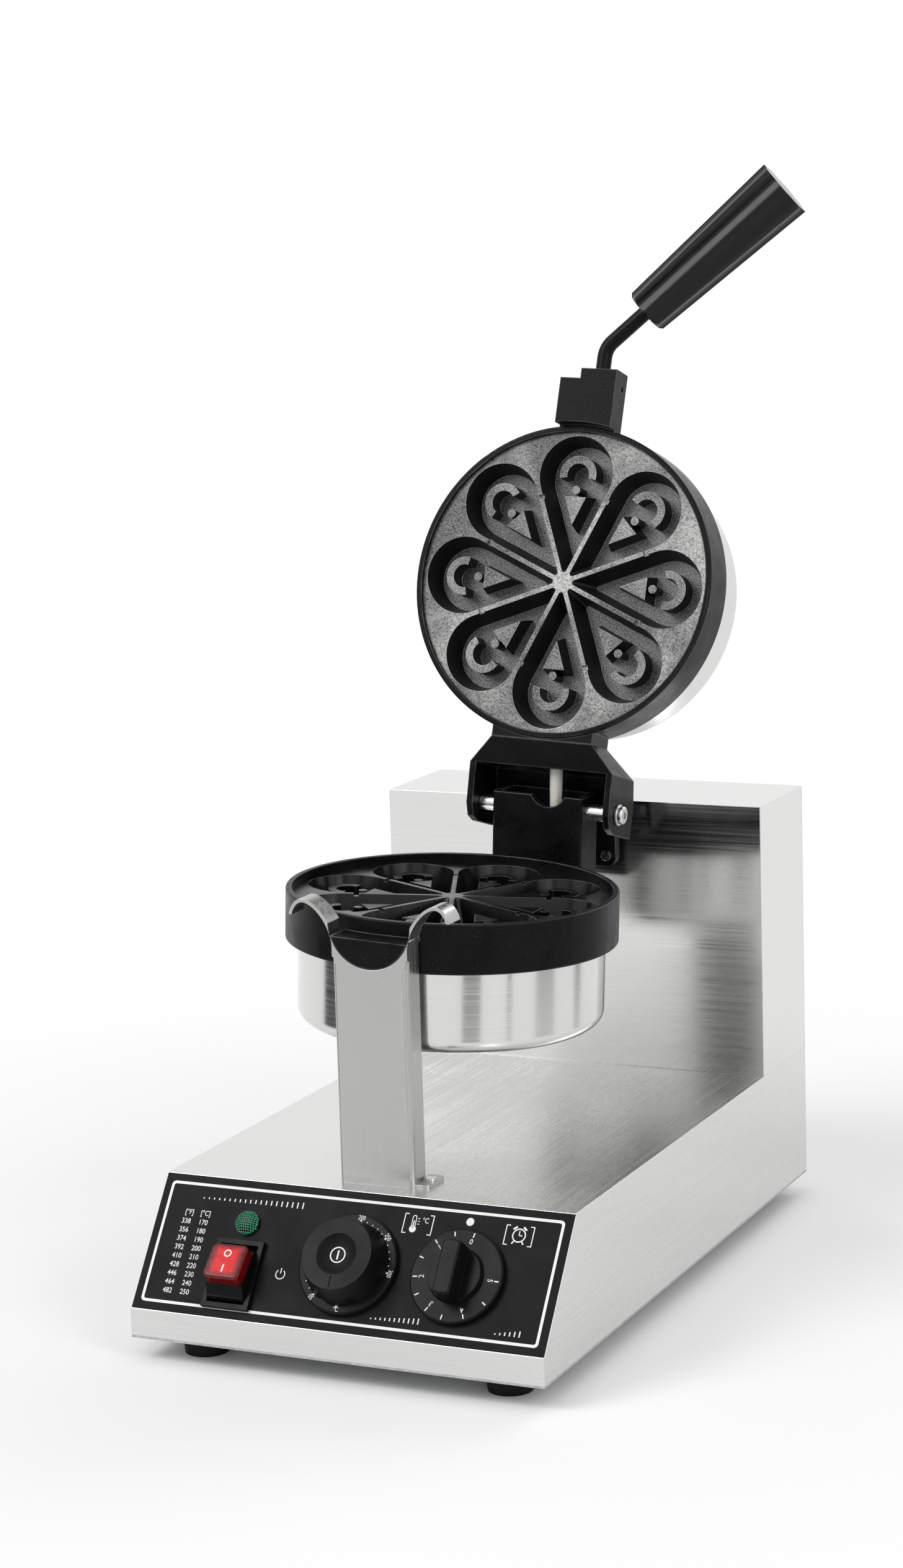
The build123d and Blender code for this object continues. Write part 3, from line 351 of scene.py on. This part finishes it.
def mould_grey():
    """Lid's mould: worn grey speckle on the flats, and painted shade, near black, on the pocket walls."""
    coat = Paint("grey mould", (0.2, 0.2, 0.2), 0.45, metallic=0.75)
    facing = coat.axis(coat.place(LID, kind="Normal"), "Z")
    # wall is 1 on the pocket walls, which are painted near black as shade
    wall = coat.remap(coat.math("ABSOLUTE", facing, 0), 0.90, 0.60)
    grain = coat.noise(coat.place(LID, (900, 900, 900)), detail=2.0, roughness=0.5)
    flecks = coat.remap(coat.noise(coat.place(LID, (1500, 1500, 1500)), detail=1.0), 0.60, 0.72)
    clouds = coat.noise(coat.place(LID, (16, 16, 16)), detail=4.0)
    depth = coat.axis(coat.place(LID, (1 / MM,) * 3), "Z")
    proud = coat.remap(depth, 9.0, 3.0)
    from_middle = coat.length(coat.place(LID, (1 / MM, 1 / MM, 0)))
    worn = coat.math("MAXIMUM", coat.remap(from_middle, 30.0, 6.0, 0.0, 0.8),
                     coat.remap(clouds, 0.42, 0.66, 0.0, 0.7))
    flat = coat.blend(coat.remap(grain, 0.3, 0.7), (0.02, 0.02, 0.021), (0.15, 0.15, 0.15))
    light = coat.blend(coat.remap(grain, 0.3, 0.7), (0.16, 0.16, 0.16), (0.62, 0.62, 0.60))
    flat = coat.blend(coat.math("MULTIPLY", worn, coat.remap(proud, 0, 1, 0.25, 1.0)), flat, light)
    flat = coat.blend(coat.math("MULTIPLY", flecks, 0.6), flat, (0.45, 0.45, 0.44))
    flat = coat.blend(coat.edges(0.0005), flat, (0.60, 0.60, 0.58))
    # Painted shade: the pocket walls take near black in place of the shadow inside the pockets.
    coat.feed(coat.blend(wall, flat, (0.004, 0.004, 0.004)), "Base Color")
    coat.feed(coat.remap(wall, 0, 1, 0.75, 0.0), "Metallic")
    coat.feed(coat.remap(grain, 0.3, 0.7, 0.34, 0.55), "Roughness")
    coat.bump(grain, 0.00012, edge=0.0005)
    return coat


def mould_black():
    """Lower mould: glossy non-stick coating, with a painted highlight along every corner."""
    dark, bright = (0.003, 0.003, 0.004), (0.30, 0.30, 0.34)
    coat = Paint("black mould", dark, 0.2, Specular_IOR_Level=0.35)
    grain = coat.noise(coat.place(scale=(500, 500, 500)), detail=3.0)
    used = coat.noise(coat.place(scale=(30, 30, 30)), detail=4.0)
    # Painted highlight: corners are mixed towards grey as if they caught the light.
    edge = coat.math("MULTIPLY", coat.edges(0.0006), 0.35)
    coat.feed(coat.blend(edge, dark, bright), "Base Color")
    coat.feed(coat.remap(used, 0.35, 0.7, 0.16, 0.34), "Roughness")
    coat.bump(grain, 0.00005, edge=0.0007)
    return coat


def enamel(name, color, rough, grain_scale, relief, **sockets):
    """Moulded plastic or rubber with a fine skin."""
    skin = Paint(name, color, rough[0], **sockets)
    grain = skin.noise(skin.place(scale=(grain_scale,) * 3), detail=2.0)
    used = skin.noise(skin.place(scale=(45, 45, 45)), detail=4.0)
    skin.feed(skin.remap(used, 0.3, 0.7, rough[0], rough[1]), "Roughness")
    skin.feed(skin.blend(used, color, tuple(c * 1.5 for c in color)), "Base Color")
    skin.bump(grain, relief, edge=0.0005)
    return skin


def bakelite():
    return enamel("bakelite", (0.002, 0.002, 0.002), (0.10, 0.22), 300, 0.00002, Specular_IOR_Level=0.25)


def knob_plastic():
    return enamel("knob plastic", (0.004, 0.004, 0.0045), (0.26, 0.40), 900, 0.00003, Specular_IOR_Level=0.10)


def fascia():
    return enamel("fascia", (0.005, 0.005, 0.006), (0.38, 0.5), 1600, 0.00003, Specular_IOR_Level=0.08)


def switch_black():
    return enamel("switch black", (0.003, 0.003, 0.003), (0.22, 0.36), 700, 0.00003, Specular_IOR_Level=0.10)


def rubber():
    return enamel("rubber", (0.006, 0.006, 0.006), (0.42, 0.65), 800, 0.00006, Specular_IOR_Level=0.16)


def control_plastic():
    return enamel("control plastic", (0.45, 0.40, 0.32), (0.4, 0.6), 500, 0.00004)


def porcelain():
    """Glazed white, with the grey stains of a handled wire sleeve."""
    clean, dirty = (0.80, 0.79, 0.74), (0.42, 0.40, 0.34)
    glaze = Paint("porcelain", clean, 0.35)
    stain = glaze.noise(glaze.place(scale=(160, 160, 60)), detail=4.0)
    glaze.feed(glaze.blend(glaze.remap(stain, 0.55, 0.75), clean, dirty), "Base Color")
    glaze.bump(stain, 0.00005)
    return glaze


def print_white():
    """Screen-printed ink, slightly uneven."""
    ink = Paint("print white", (0.82, 0.82, 0.82), 0.5)
    grain = ink.noise(ink.place(scale=(900, 900, 900)))
    ink.feed(ink.blend(ink.remap(grain, 0.3, 0.7), (0.76, 0.76, 0.76), (0.88, 0.88, 0.88)), "Base Color")
    return ink


def red_lens():
    """Translucent red cap, darker over its thick rim; its middle is painted brighter and given a faint glow
    as painted light.
    """
    lens = Paint("red lens", (0.1, 0.001, 0.002), 0.16, Specular_IOR_Level=0.3)
    local = lens.place(ROCKER, (1 / MM,) * 3)
    rim_width = 3.0
    inside = [lens.remap(lens.math("ABSOLUTE", lens.axis(local, name), 0), half, half - rim_width)
              for name, half in (("X", 8.6), ("Y", 9.4))]
    painted_glow = lens.math("MULTIPLY", *inside)
    cloud = lens.noise(lens.place(ROCKER, (260, 260, 260)), detail=4.0)
    rim = lens.blend(cloud, (0.055, 0.0005, 0.001), (0.20, 0.002, 0.004))
    # Painted light: the middle of the cap is brighter and glows faintly.
    tone = lens.blend(painted_glow, rim, (0.62, 0.003, 0.006))
    lens.feed(tone, "Base Color")
    lens.feed(tone, "Emission Color")
    lens.feed(lens.math("MULTIPLY", painted_glow, 0.08), "Emission Strength")
    lens.feed(lens.remap(cloud, 0.3, 0.7, 0.10, 0.22), "Roughness")
    lens.bump(cloud, 0.00004, edge=0.0006)
    return lens


def green_lens():
    """Pilot lamp's lens with its grid of small prisms, with painted highlights on the prism tips."""
    lens = Paint("green lens", (0.01, 0.30, 0.12), 0.12, Specular_IOR_Level=0.3)
    pitch = 1.3 * MM
    local = lens.place(PANEL, (pi / pitch,) * 3)
    ridges = [lens.math("ABSOLUTE", lens.math("SINE", lens.axis(local, name), 0), 0) for name in "XY"]
    dots = lens.math("MULTIPLY", *ridges)
    valley, peak_highlight = (0.001, 0.022, 0.010), (0.03, 0.40, 0.20)
    # Painted highlights: the prism tips are painted bright green as glints.
    lens.feed(lens.blend(lens.remap(dots, 0.35, 0.80), valley, peak_highlight), "Base Color")
    lens.bump(dots, 0.0003, edge=0.0004)
    return lens


# Which finish each node takes


def finishes():
    return {
        base_steel(): ["base_shell"],
        column_steel(): ["column_cover", "column_back_panel"],
        post_steel(): ["front_post"],
        can_steel("lower can steel", HEAD): ["lower_can"],
        can_steel("upper can steel", LID): ["upper_can"],
        zinc(): ["base_bottom_plate", "timer_body", "pivot_shaft", "shaft_collar"],
        screw_steel(): ["feet_screws", "back_screws", "column_screws", "bearing_screws", "post_screws",
                        "timer_bell", "control_screws", "lower_can_screw", "upper_can_screw", "block_screws",
                        "collar_screw", "hinge_bolts", "hinge_washers", "hinge_spacers", "hinge_nuts",
                        "bracket_screws", "handle_lock_screw"],
        heater_steel(): ["lower_heater", "upper_heater"],
        brass(): ["shaft_bush", "switch_terminals", "temperature_spindle", "timer_spindle"],
        cast_black(): ["lower_ring_housing", "upper_ring_housing", "hinge_block", "hinge_bracket",
                       "bearing_housing", "handle_rod"],
        mould_grey(): ["upper_mould_plate"],
        mould_black(): ["lower_mould_plate"],
        bakelite(): ["handle_grip"],
        knob_plastic(): ["temperature_dial", "temperature_knob", "timer_dial", "timer_knob",
                         "pilot_lamp_body"],
        fascia(): ["fascia_panel"],
        switch_black(): ["switch_housing", "power_rocker"],
        rubber(): ["feet", "cable_gland", "gland_nut"],
        control_plastic(): ["thermostat_body"],
        porcelain(): ["terminal_block", "wire_sleeve", "lid_wire_sleeve"],
        red_lens(): ["rocker_cap"],
        green_lens(): ["pilot_lamp_lens"],
    }


def paint_nodes():
    for paint, names in finishes().items():
        for name in names:
            materials = nodes[name].data.materials
            materials.clear()
            materials.append(paint.material)


# Flat marks, drawn in millimetres


class Pen:
    """Draws filled flat shapes into a mesh, in a local frame in millimetres."""

    def __init__(self):
        self.mesh = bmesh.new()

    def polygon(self, points):
        self.mesh.faces.new([self.mesh.verts.new((x, y, 0)) for x, y in points])

    def band(self, outer, inner):
        """Closed band between two outlines with as many points each."""
        loops = [[self.mesh.verts.new((x, y, 0)) for x, y in points] for points in (outer, inner)]
        for k in range(len(outer)):
            j = (k + 1) % len(outer)
            self.mesh.faces.new((loops[0][k], loops[0][j], loops[1][j], loops[1][k]))

    def disc(self, x, y, radius, sides=32):
        self.polygon(round_points(x, y, radius, sides))

    def ring(self, x, y, radius, width, sides=48):
        self.band(round_points(x, y, radius, sides), round_points(x, y, radius - width, sides))

    def bar(self, x0, y0, x1, y1, width):
        along = Vector((x1 - x0, y1 - y0)).normalized()
        side = Vector((-along.y, along.x)) * width / 2
        self.polygon([(x0 + side.x, y0 + side.y), (x0 - side.x, y0 - side.y),
                      (x1 - side.x, y1 - side.y), (x1 + side.x, y1 + side.y)])

    def write(self, words, x, y, size, turn=0.0, narrow=1.0):
        """Numbers and signs centred on a point, turned anticlockwise."""
        curve = bpy.data.curves.new("words", "FONT")
        curve.body = words
        curve.size = size
        curve.align_x = "CENTER"
        curve.align_y = "CENTER"
        curve.resolution_u = 3
        curve.offset = 0.012 * size
        holder = bpy.data.objects.new("words", curve)
        bpy.context.scene.collection.objects.link(holder)
        drawn = bpy.data.meshes.new_from_object(holder.evaluated_get(bpy.context.evaluated_depsgraph_get()))
        drawn.transform(Matrix.Translation((x, y, 0)) @ Matrix.Rotation(turn, 4, "Z")
                        @ Matrix.Diagonal((narrow, 1, 1, 1)))
        self.mesh.from_mesh(drawn)
        bpy.data.objects.remove(holder)
        bpy.data.curves.remove(curve)
        bpy.data.meshes.remove(drawn)

    def finish(self, name, place, thick, paint, body):
        """Gives the marks their thickness and lays them at place."""
        mesh = self.mesh
        bmesh.ops.remove_doubles(mesh, verts=mesh.verts[:], dist=0.001)
        mesh.normal_update()
        for face in mesh.faces:
            if face.normal.z < 0:
                face.normal_flip()
        risen = bmesh.ops.extrude_face_region(mesh, geom=mesh.faces[:])
        moved = [part for part in risen["geom"] if isinstance(part, bmesh.types.BMVert)]
        bmesh.ops.translate(mesh, verts=moved, vec=(0, 0, thick))
        bmesh.ops.recalc_face_normals(mesh, faces=mesh.faces[:])
        mesh.transform(place @ Matrix.Scale(MM, 4))
        piece = object_from(mesh, name, paint)
        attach(piece, body)


def object_from(mesh, name, paint):
    data = bpy.data.meshes.new(name)
    mesh.to_mesh(data)
    mesh.free()
    data.materials.append(paint.material)
    made = bpy.data.objects.new(name, data)
    bpy.context.scene.collection.objects.link(made)
    return made


def round_points(x, y, radius, sides):
    turns = [2 * pi * k / sides for k in range(sides)]
    return [(x + radius * cos(a), y + radius * sin(a)) for a in turns]


def rounded_rectangle(x0, x1, y0, y1, radius, steps=6):
    points = []
    for x, y, start in ((x1 - radius, y1 - radius, 0), (x0 + radius, y1 - radius, 90),
                        (x0 + radius, y0 + radius, 180), (x1 - radius, y0 + radius, 270)):
        for k in range(steps + 1):
            a = radians(start + 90 * k / steps)
            points.append((x + radius * cos(a), y + radius * sin(a)))
    return points


def clock(radius, degrees_from_top):
    """Point on a dial round the origin, measured clockwise from its top."""
    a = radians(degrees_from_top)
    return radius * sin(a), radius * cos(a)


def brackets(pen, u0, u1, v0, v1):
    width, foot = 0.55, 2.2
    for u, inward in ((u0, 1), (u1, -1)):
        pen.bar(u, v0, u, v1, width)
        for v in (v0, v1):
            pen.bar(u - inward * width / 2, v, u + inward * foot, v, width)


def thermometer(pen, u, v):
    """Glass tube with its bulb and column, and three ticks beside it."""
    tube, bore, bulb, flat = 1.3, 0.85, 2.0, 0.01
    pen.band(rounded_rectangle(u - tube, u + tube, v - 2.5, v + 4.6, tube - flat),
             rounded_rectangle(u - bore, u + bore, v - 2.1, v + 4.15, bore - flat))
    pen.disc(u, v - 3.4, bulb)
    pen.bar(u, v - 3.0, u, v + 1.5, 0.6)
    for k in range(3):
        tick = v - 0.4 + k * 1.6
        pen.bar(u + 2.1, tick, u + 3.3, tick, 0.4)


def alarm_clock(pen, u, v):
    """Round face with two hands, two bells and two feet."""
    pen.ring(u, v, 4.0, 0.7)
    pen.bar(u, v, u, v + 2.6, 0.55)
    pen.bar(u, v, u + 1.9, v, 0.55)
    for side in (-1, 1):
        pen.bar(u + side * 1.8, v + 4.9, u + side * 3.9, v + 3.3, 1.1)
        pen.bar(u + side * 2.4, v - 3.4, u + side * 3.4, v - 4.9, 0.8)


def level_bars(pen, u0, u1, v, count, low, high):
    """A plain rising scale of short bars."""
    for k in range(count):
        share = k / (count - 1)
        u = u0 + (u1 - u0) * share
        pen.bar(u, v, u, v + low + (high - low) * share, 0.7)


def power_sign(pen, u, v):
    """Ring that is open at the top, with a stroke in the opening."""
    half_opening, steps, outer, inner = 38, 24, 3.0, 2.4
    drawn = 360 - 2 * half_opening
    sweep = [radians(90 + half_opening + drawn * k / steps) for k in range(steps + 1)]
    for a, b in zip(sweep, sweep[1:]):
        corners = ((outer, a), (outer, b), (inner, b), (inner, a))
        pen.polygon([(u + r * cos(t), v + r * sin(t)) for r, t in corners])
    pen.bar(u, v + 0.4, u, v + 3.6, 0.6)


def outline(pen):
    """White line just inside the panel's edge."""
    half, low, high, line, corner = 120.3, 5.0, 76.5, 1.6, 2.5
    pen.band(rounded_rectangle(-half, half, low, high, corner),
             rounded_rectangle(line - half, half - line, low + line, high - line, 1.4))


def degree_table(pen):
    """Fahrenheit beside Celsius, one row for each 10 degrees."""
    rows, first_row, row_step, size = 9, 53.5, 5.11, 4.3
    coolest, step = 170, 10
    for k in range(rows):
        celsius = coolest + step * k
        v = first_row - row_step * k
        pen.write(str(round(celsius * 9 / 5 + 32)), -105.4, v, size, narrow=0.9)
        pen.write(str(celsius), -94.6, v, size, narrow=0.9)
    for words, u in (("[°F]", -104.6), ("[°C]", -94.4)):
        pen.write(words, u, 58.9, size, narrow=0.85)


def panel_print(ink):
    """All marks on the panel itself; u runs across it and v up its slope."""
    pen = Pen()
    outline(pen)
    degree_table(pen)
    pen.disc(65.5, 70.4, 2.3)
    brackets(pen, 26.7, 43.9, 60.5, 71.5)
    thermometer(pen, 32.6, 66.4)
    pen.write("°C", 39.4, 68.2, 4.4, narrow=0.8)
    brackets(pen, 87.3, 103.5, 60.0, 71.0)
    alarm_clock(pen, 95.4, 65.6)
    level_bars(pen, -98.0, -36.0, 67.6, 20, 0.8, 3.6)
    level_bars(pen, 21.0, 49.0, 10.0, 11, 0.8, 3.4)
    level_bars(pen, 94.5, 108.5, 9.6, 6, 0.8, 3.4)
    power_sign(pen, -39.2, 29.0)
    pen.finish("panel_print", PANEL, INK_THICK, ink, "base")


def temperature_print(ink):
    """Numbers round the skirt, four small dots after each but the last, and the unit at the bottom."""
    number_radius, number_size, dot_radius, small_dot = 26.6, 3.7, 24.9, 0.35
    first, second, third, last, bottom = 218, 365, 410, 457, 180
    pen = Pen()
    for angle, words in ((first, "50"), (second, "200"), (third, "250"), (last, "300")):
        pen.write(words, *clock(number_radius, angle), number_size, turn=-radians(angle), narrow=0.8)
        pen.disc(*clock(dot_radius, angle), 0.6, sides=16)
    for start, step in ((second, (third - second) / 5), (third, (last - third) / 5), (first, 11)):
        for k in range(1, 5):
            pen.disc(*clock(dot_radius, start + step * k), small_dot, sides=12)
    pen.disc(*clock(dot_radius, bottom), 0.8, sides=20)
    pen.write("°C", *clock(number_radius, bottom), number_size, narrow=0.8)
    place = on_panel(TEMPERATURE_U, KNOB_V, DIAL_TOP)
    pen.finish("temperature_print", place, INK_THICK, ink, "temperature_control")


def timer_print(ink):
    """Hour numbers and half-hour strokes, 0 at the top and rising anticlockwise."""
    stroke_outer, stroke_inner, hour_radius, hour_size = 25.2, 22.6, 20.0, 4.4
    pen = Pen()
    strokes = (12, 345, 318, 290, 263, 238, 212, 187, 157, 125, 92)
    for k, angle in enumerate(strokes):
        pen.bar(*clock(stroke_outer, angle), *clock(stroke_inner, angle), 0.7)
        if k % 2 == 0:
            hour = str(k // 2)
            pen.write(hour, *clock(hour_radius, angle), hour_size, turn=-radians(angle), narrow=0.9)
    place = on_panel(TIMER_U, KNOB_V, DIAL_TOP)
    pen.finish("timer_print", place, INK_THICK, ink, "timer_control")


def knob_marks(ink, grey):
    """Ring and dash in the grip's dish, and the index line on the face below it."""
    ring_high, dash_high, face_high = 17.27, 17.0, 19.35
    control = "temperature_control"
    pen = Pen()
    pen.ring(0, 0, 4.6, 0.7)
    pen.finish("knob_ring", on_panel(TEMPERATURE_U, KNOB_V, ring_high), 0.15, ink, control)
    pen = Pen()
    pen.bar(0, -2.6, 0, 2.6, 0.9)
    pen.finish("knob_dash", on_panel(TEMPERATURE_U, KNOB_V, dash_high), 0.2, ink, control)
    pen = Pen()
    pen.bar(0, -12.6, 0, -19.2, 0.8)
    pen.finish("knob_index", on_panel(TEMPERATURE_U, KNOB_V, face_high), 0.15, grey, control)


def rocker_marks(ink):
    """O and I on the red cap."""
    top = ROCKER @ Matrix.Translation(Vector((0, 0, CAP_TOP)) * MM)
    pen = Pen()
    pen.ring(0, 4.6, 2.3, 0.75)
    pen.bar(0, -7.2, 0, -2.4, 0.9)
    pen.finish("rocker_marks", top, INK_THICK, ink, "rocker")


# Wire sleeve, in millimetres in the head's own frame

SLEEVE_X, SLEEVE_Y = 6.0, 138.0
SLEEVE_ENDS = (-24, 62)                      # heights of its hidden ends
SLEEVE_RADIUS, SLEEVE_SWELL, SLEEVE_WALL = 3.65, 0.35, 1.2


def sleeve_middle(z):
    """The sleeve runs straight up and then leans back into the lid."""
    lean, lean_from, lean_over = 2.7, 44.0, 18.5
    return SLEEVE_Y + lean * (max(0.0, z - lean_from) / lean_over) ** 2


def sleeve_radius(z):
    """It is wider at the top, where it is slipped over the lid's wires."""
    swell_from, swell_over = 26.0, 14.0
    return SLEEVE_RADIUS + SLEEVE_SWELL * min(1.0, max(0.0, (z - swell_from) / swell_over))


def wire_sleeve(glaze):
    """One bendable sleeve from the hinge block up to the lid."""
    heights = list(range(SLEEVE_ENDS[0], SLEEVE_ENDS[1] + 1, 2))
    sides = 24
    mesh = bmesh.new()
    loops = []
    for wall, path in ((0.0, heights), (SLEEVE_WALL, heights[::-1])):
        for z in path:
            ring = round_points(SLEEVE_X, sleeve_middle(z), sleeve_radius(z) - wall, sides)
            loops.append([mesh.verts.new((x, y, z)) for x, y in ring])
    for a, b in zip(loops, loops[1:] + loops[:1]):
        for k in range(sides):
            j = (k + 1) % sides
            mesh.faces.new((a[k], a[j], b[j], b[k]))
    bmesh.ops.recalc_face_normals(mesh, faces=mesh.faces[:])
    for face in mesh.faces:
        face.smooth = True
    mesh.transform(HEAD @ Matrix.Scale(MM, 4))
    sleeve = object_from(mesh, "flexible_sleeve", glaze)
    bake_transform(sleeve)
    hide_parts("wire_sleeve", "lid_wire_sleeve")


# Studio

EYE = (0.80221, -1.77230, 0.62647)
AZIMUTH, ELEVATION, ROLL = radians(24.836), radians(9.637), radians(-1.736)
SENSOR, LENS = 36.0, 134.23                  # millimetres
ROOM_LIGHT = 0.60                            # the white room's strength as a light
FLOOR_RADIUS, FADE_FROM, FADE_TO = 0.8, 0.35, 0.75
FLAG_REACH = 2.7                             # distance of the cards from the middle

# Name, place, height aimed at, size and power of each lamp
LAMPS = [
    ("key", (-1.6, -1.8, 2.4), 0.25, 1.6, 44),
    ("fill", (2.2, -1.2, 1.6), 0.25, 1.4, 18),
    ("rim", (0.6, 2.2, 1.9), 0.35, 1.2, 14),
]

# Name, bearing from the front, width, height, middle's height and shade of each dark card
FLAGS = [
    ("left_flag", -72, 0.95, 2.4, 0.5, 0.03),
    ("front_flag", -9, 0.45, 2.0, 0.4, 0.03),
    ("near_flag", 38, 0.62, 2.0, 0.3, 0.30),
    ("right_flag", 66, 0.16, 2.0, 0.4, 0.04),
    ("side_flag", 96, 0.80, 2.2, 0.5, 0.22),
    ("far_flag", 130, 0.35, 2.4, 0.6, 0.05),
]


def camera():
    """The photograph's viewpoint."""
    level = cos(ELEVATION)
    forward = Vector((-sin(AZIMUTH) * level, cos(AZIMUTH) * level, -sin(ELEVATION)))
    right = Vector((cos(AZIMUTH), sin(AZIMUTH), 0))
    up = right.cross(forward)
    rolled_right = cos(ROLL) * right + sin(ROLL) * up
    rolled_up = cos(ROLL) * up - sin(ROLL) * right
    data = bpy.data.cameras.new("camera")
    data.sensor_fit = "HORIZONTAL"
    data.sensor_width = SENSOR
    data.lens = LENS
    data.clip_end = 50
    view = bpy.data.objects.new("camera", data)
    view.matrix_world = axes_matrix(rolled_right, rolled_up, -forward, Vector(EYE))
    bpy.context.scene.collection.objects.link(view)
    bpy.context.scene.camera = view


def area_light(name, place, aim, size, power):
    data = bpy.data.lights.new(name, "AREA")
    data.shape = "SQUARE"
    data.size = size
    data.energy = power
    lamp = bpy.data.objects.new(name, data)
    lamp.location = place
    lamp.rotation_euler = (Vector(aim) - Vector(place)).to_track_quat("-Z", "Y").to_euler()
    bpy.context.scene.collection.objects.link(lamp)


def world():
    """White where it is seen or mirrored; softer as a light."""
    room = bpy.data.worlds.new("room")
    bpy.context.scene.world = room
    room.use_nodes = True
    tree = room.node_tree
    sky = tree.nodes["Background"]
    sky.inputs["Color"].default_value = (1, 1, 1, 1)
    path = tree.nodes.new("ShaderNodeLightPath")
    seen = path.outputs["Is Camera Ray"]
    for ray in ("Is Glossy Ray", "Is Transmission Ray"):
        either = tree.nodes.new("ShaderNodeMath")
        either.operation = "MAXIMUM"
        tree.links.new(seen, either.inputs[0])
        tree.links.new(path.outputs[ray], either.inputs[1])
        seen = either.outputs[0]
    strength = tree.nodes.new("ShaderNodeMapRange")
    strength.inputs["To Min"].default_value = ROOM_LIGHT
    strength.inputs["To Max"].default_value = 1.0
    tree.links.new(seen, strength.inputs["Value"])
    tree.links.new(strength.outputs[0], sky.inputs["Strength"])


def floor():
    """Pale round floor that fades out into the white room."""
    mesh = bmesh.new()
    bmesh.ops.create_circle(mesh, cap_ends=True, segments=96, radius=FLOOR_RADIUS)
    paint = Paint("floor", (0.93, 0.93, 0.93), 0.7, Specular_IOR_Level=0.1)
    mottle = paint.noise(paint.place(scale=(3, 3, 3)))
    paint.feed(paint.blend(mottle, (0.92, 0.92, 0.92), (0.94, 0.94, 0.94)), "Base Color")
    from_middle = paint.length(paint.place())
    paint.feed(paint.remap(from_middle, FADE_FROM, FADE_TO, 1.0, 0.0), "Alpha")
    ground = object_from(mesh, "floor", paint)


def flag(name, place, aim, width, height, shade):
    """Dark studio card that only mirrors show, so that bright metal has something to reflect."""
    mesh = bmesh.new()
    bmesh.ops.create_grid(mesh, x_segments=1, y_segments=1, size=0.5)
    bmesh.ops.scale(mesh, verts=mesh.verts, vec=(width, height, 1))
    card = object_from(mesh, name, Paint(name, (shade,) * 3, 0.9))
    card.location = place
    card.rotation_euler = (Vector(aim) - Vector(place)).to_track_quat("Z", "Y").to_euler()
    card.visible_camera = False
    card.visible_diffuse = False
    card.visible_shadow = False


def studio():
    camera()
    world()
    floor()
    for name, place, aimed_at, size, power in LAMPS:
        area_light(name, place, (0, 0, aimed_at), size, power)
    for name, bearing, width, height, middle, shade in FLAGS:
        place = (FLAG_REACH * sin(radians(bearing)), -FLAG_REACH * cos(radians(bearing)), middle)
        flag(name, place, (0, 0, middle), width, height, shade)
    bpy.context.scene.view_settings.view_transform = "Standard"


paint_nodes()
white_ink = print_white()
panel_print(white_ink)
temperature_print(white_ink)
timer_print(white_ink)
knob_marks(white_ink, enamel("index grey", (0.16, 0.16, 0.16), (0.4, 0.5), 600, 0.00002))
rocker_marks(white_ink)
wire_sleeve(porcelain())
studio()
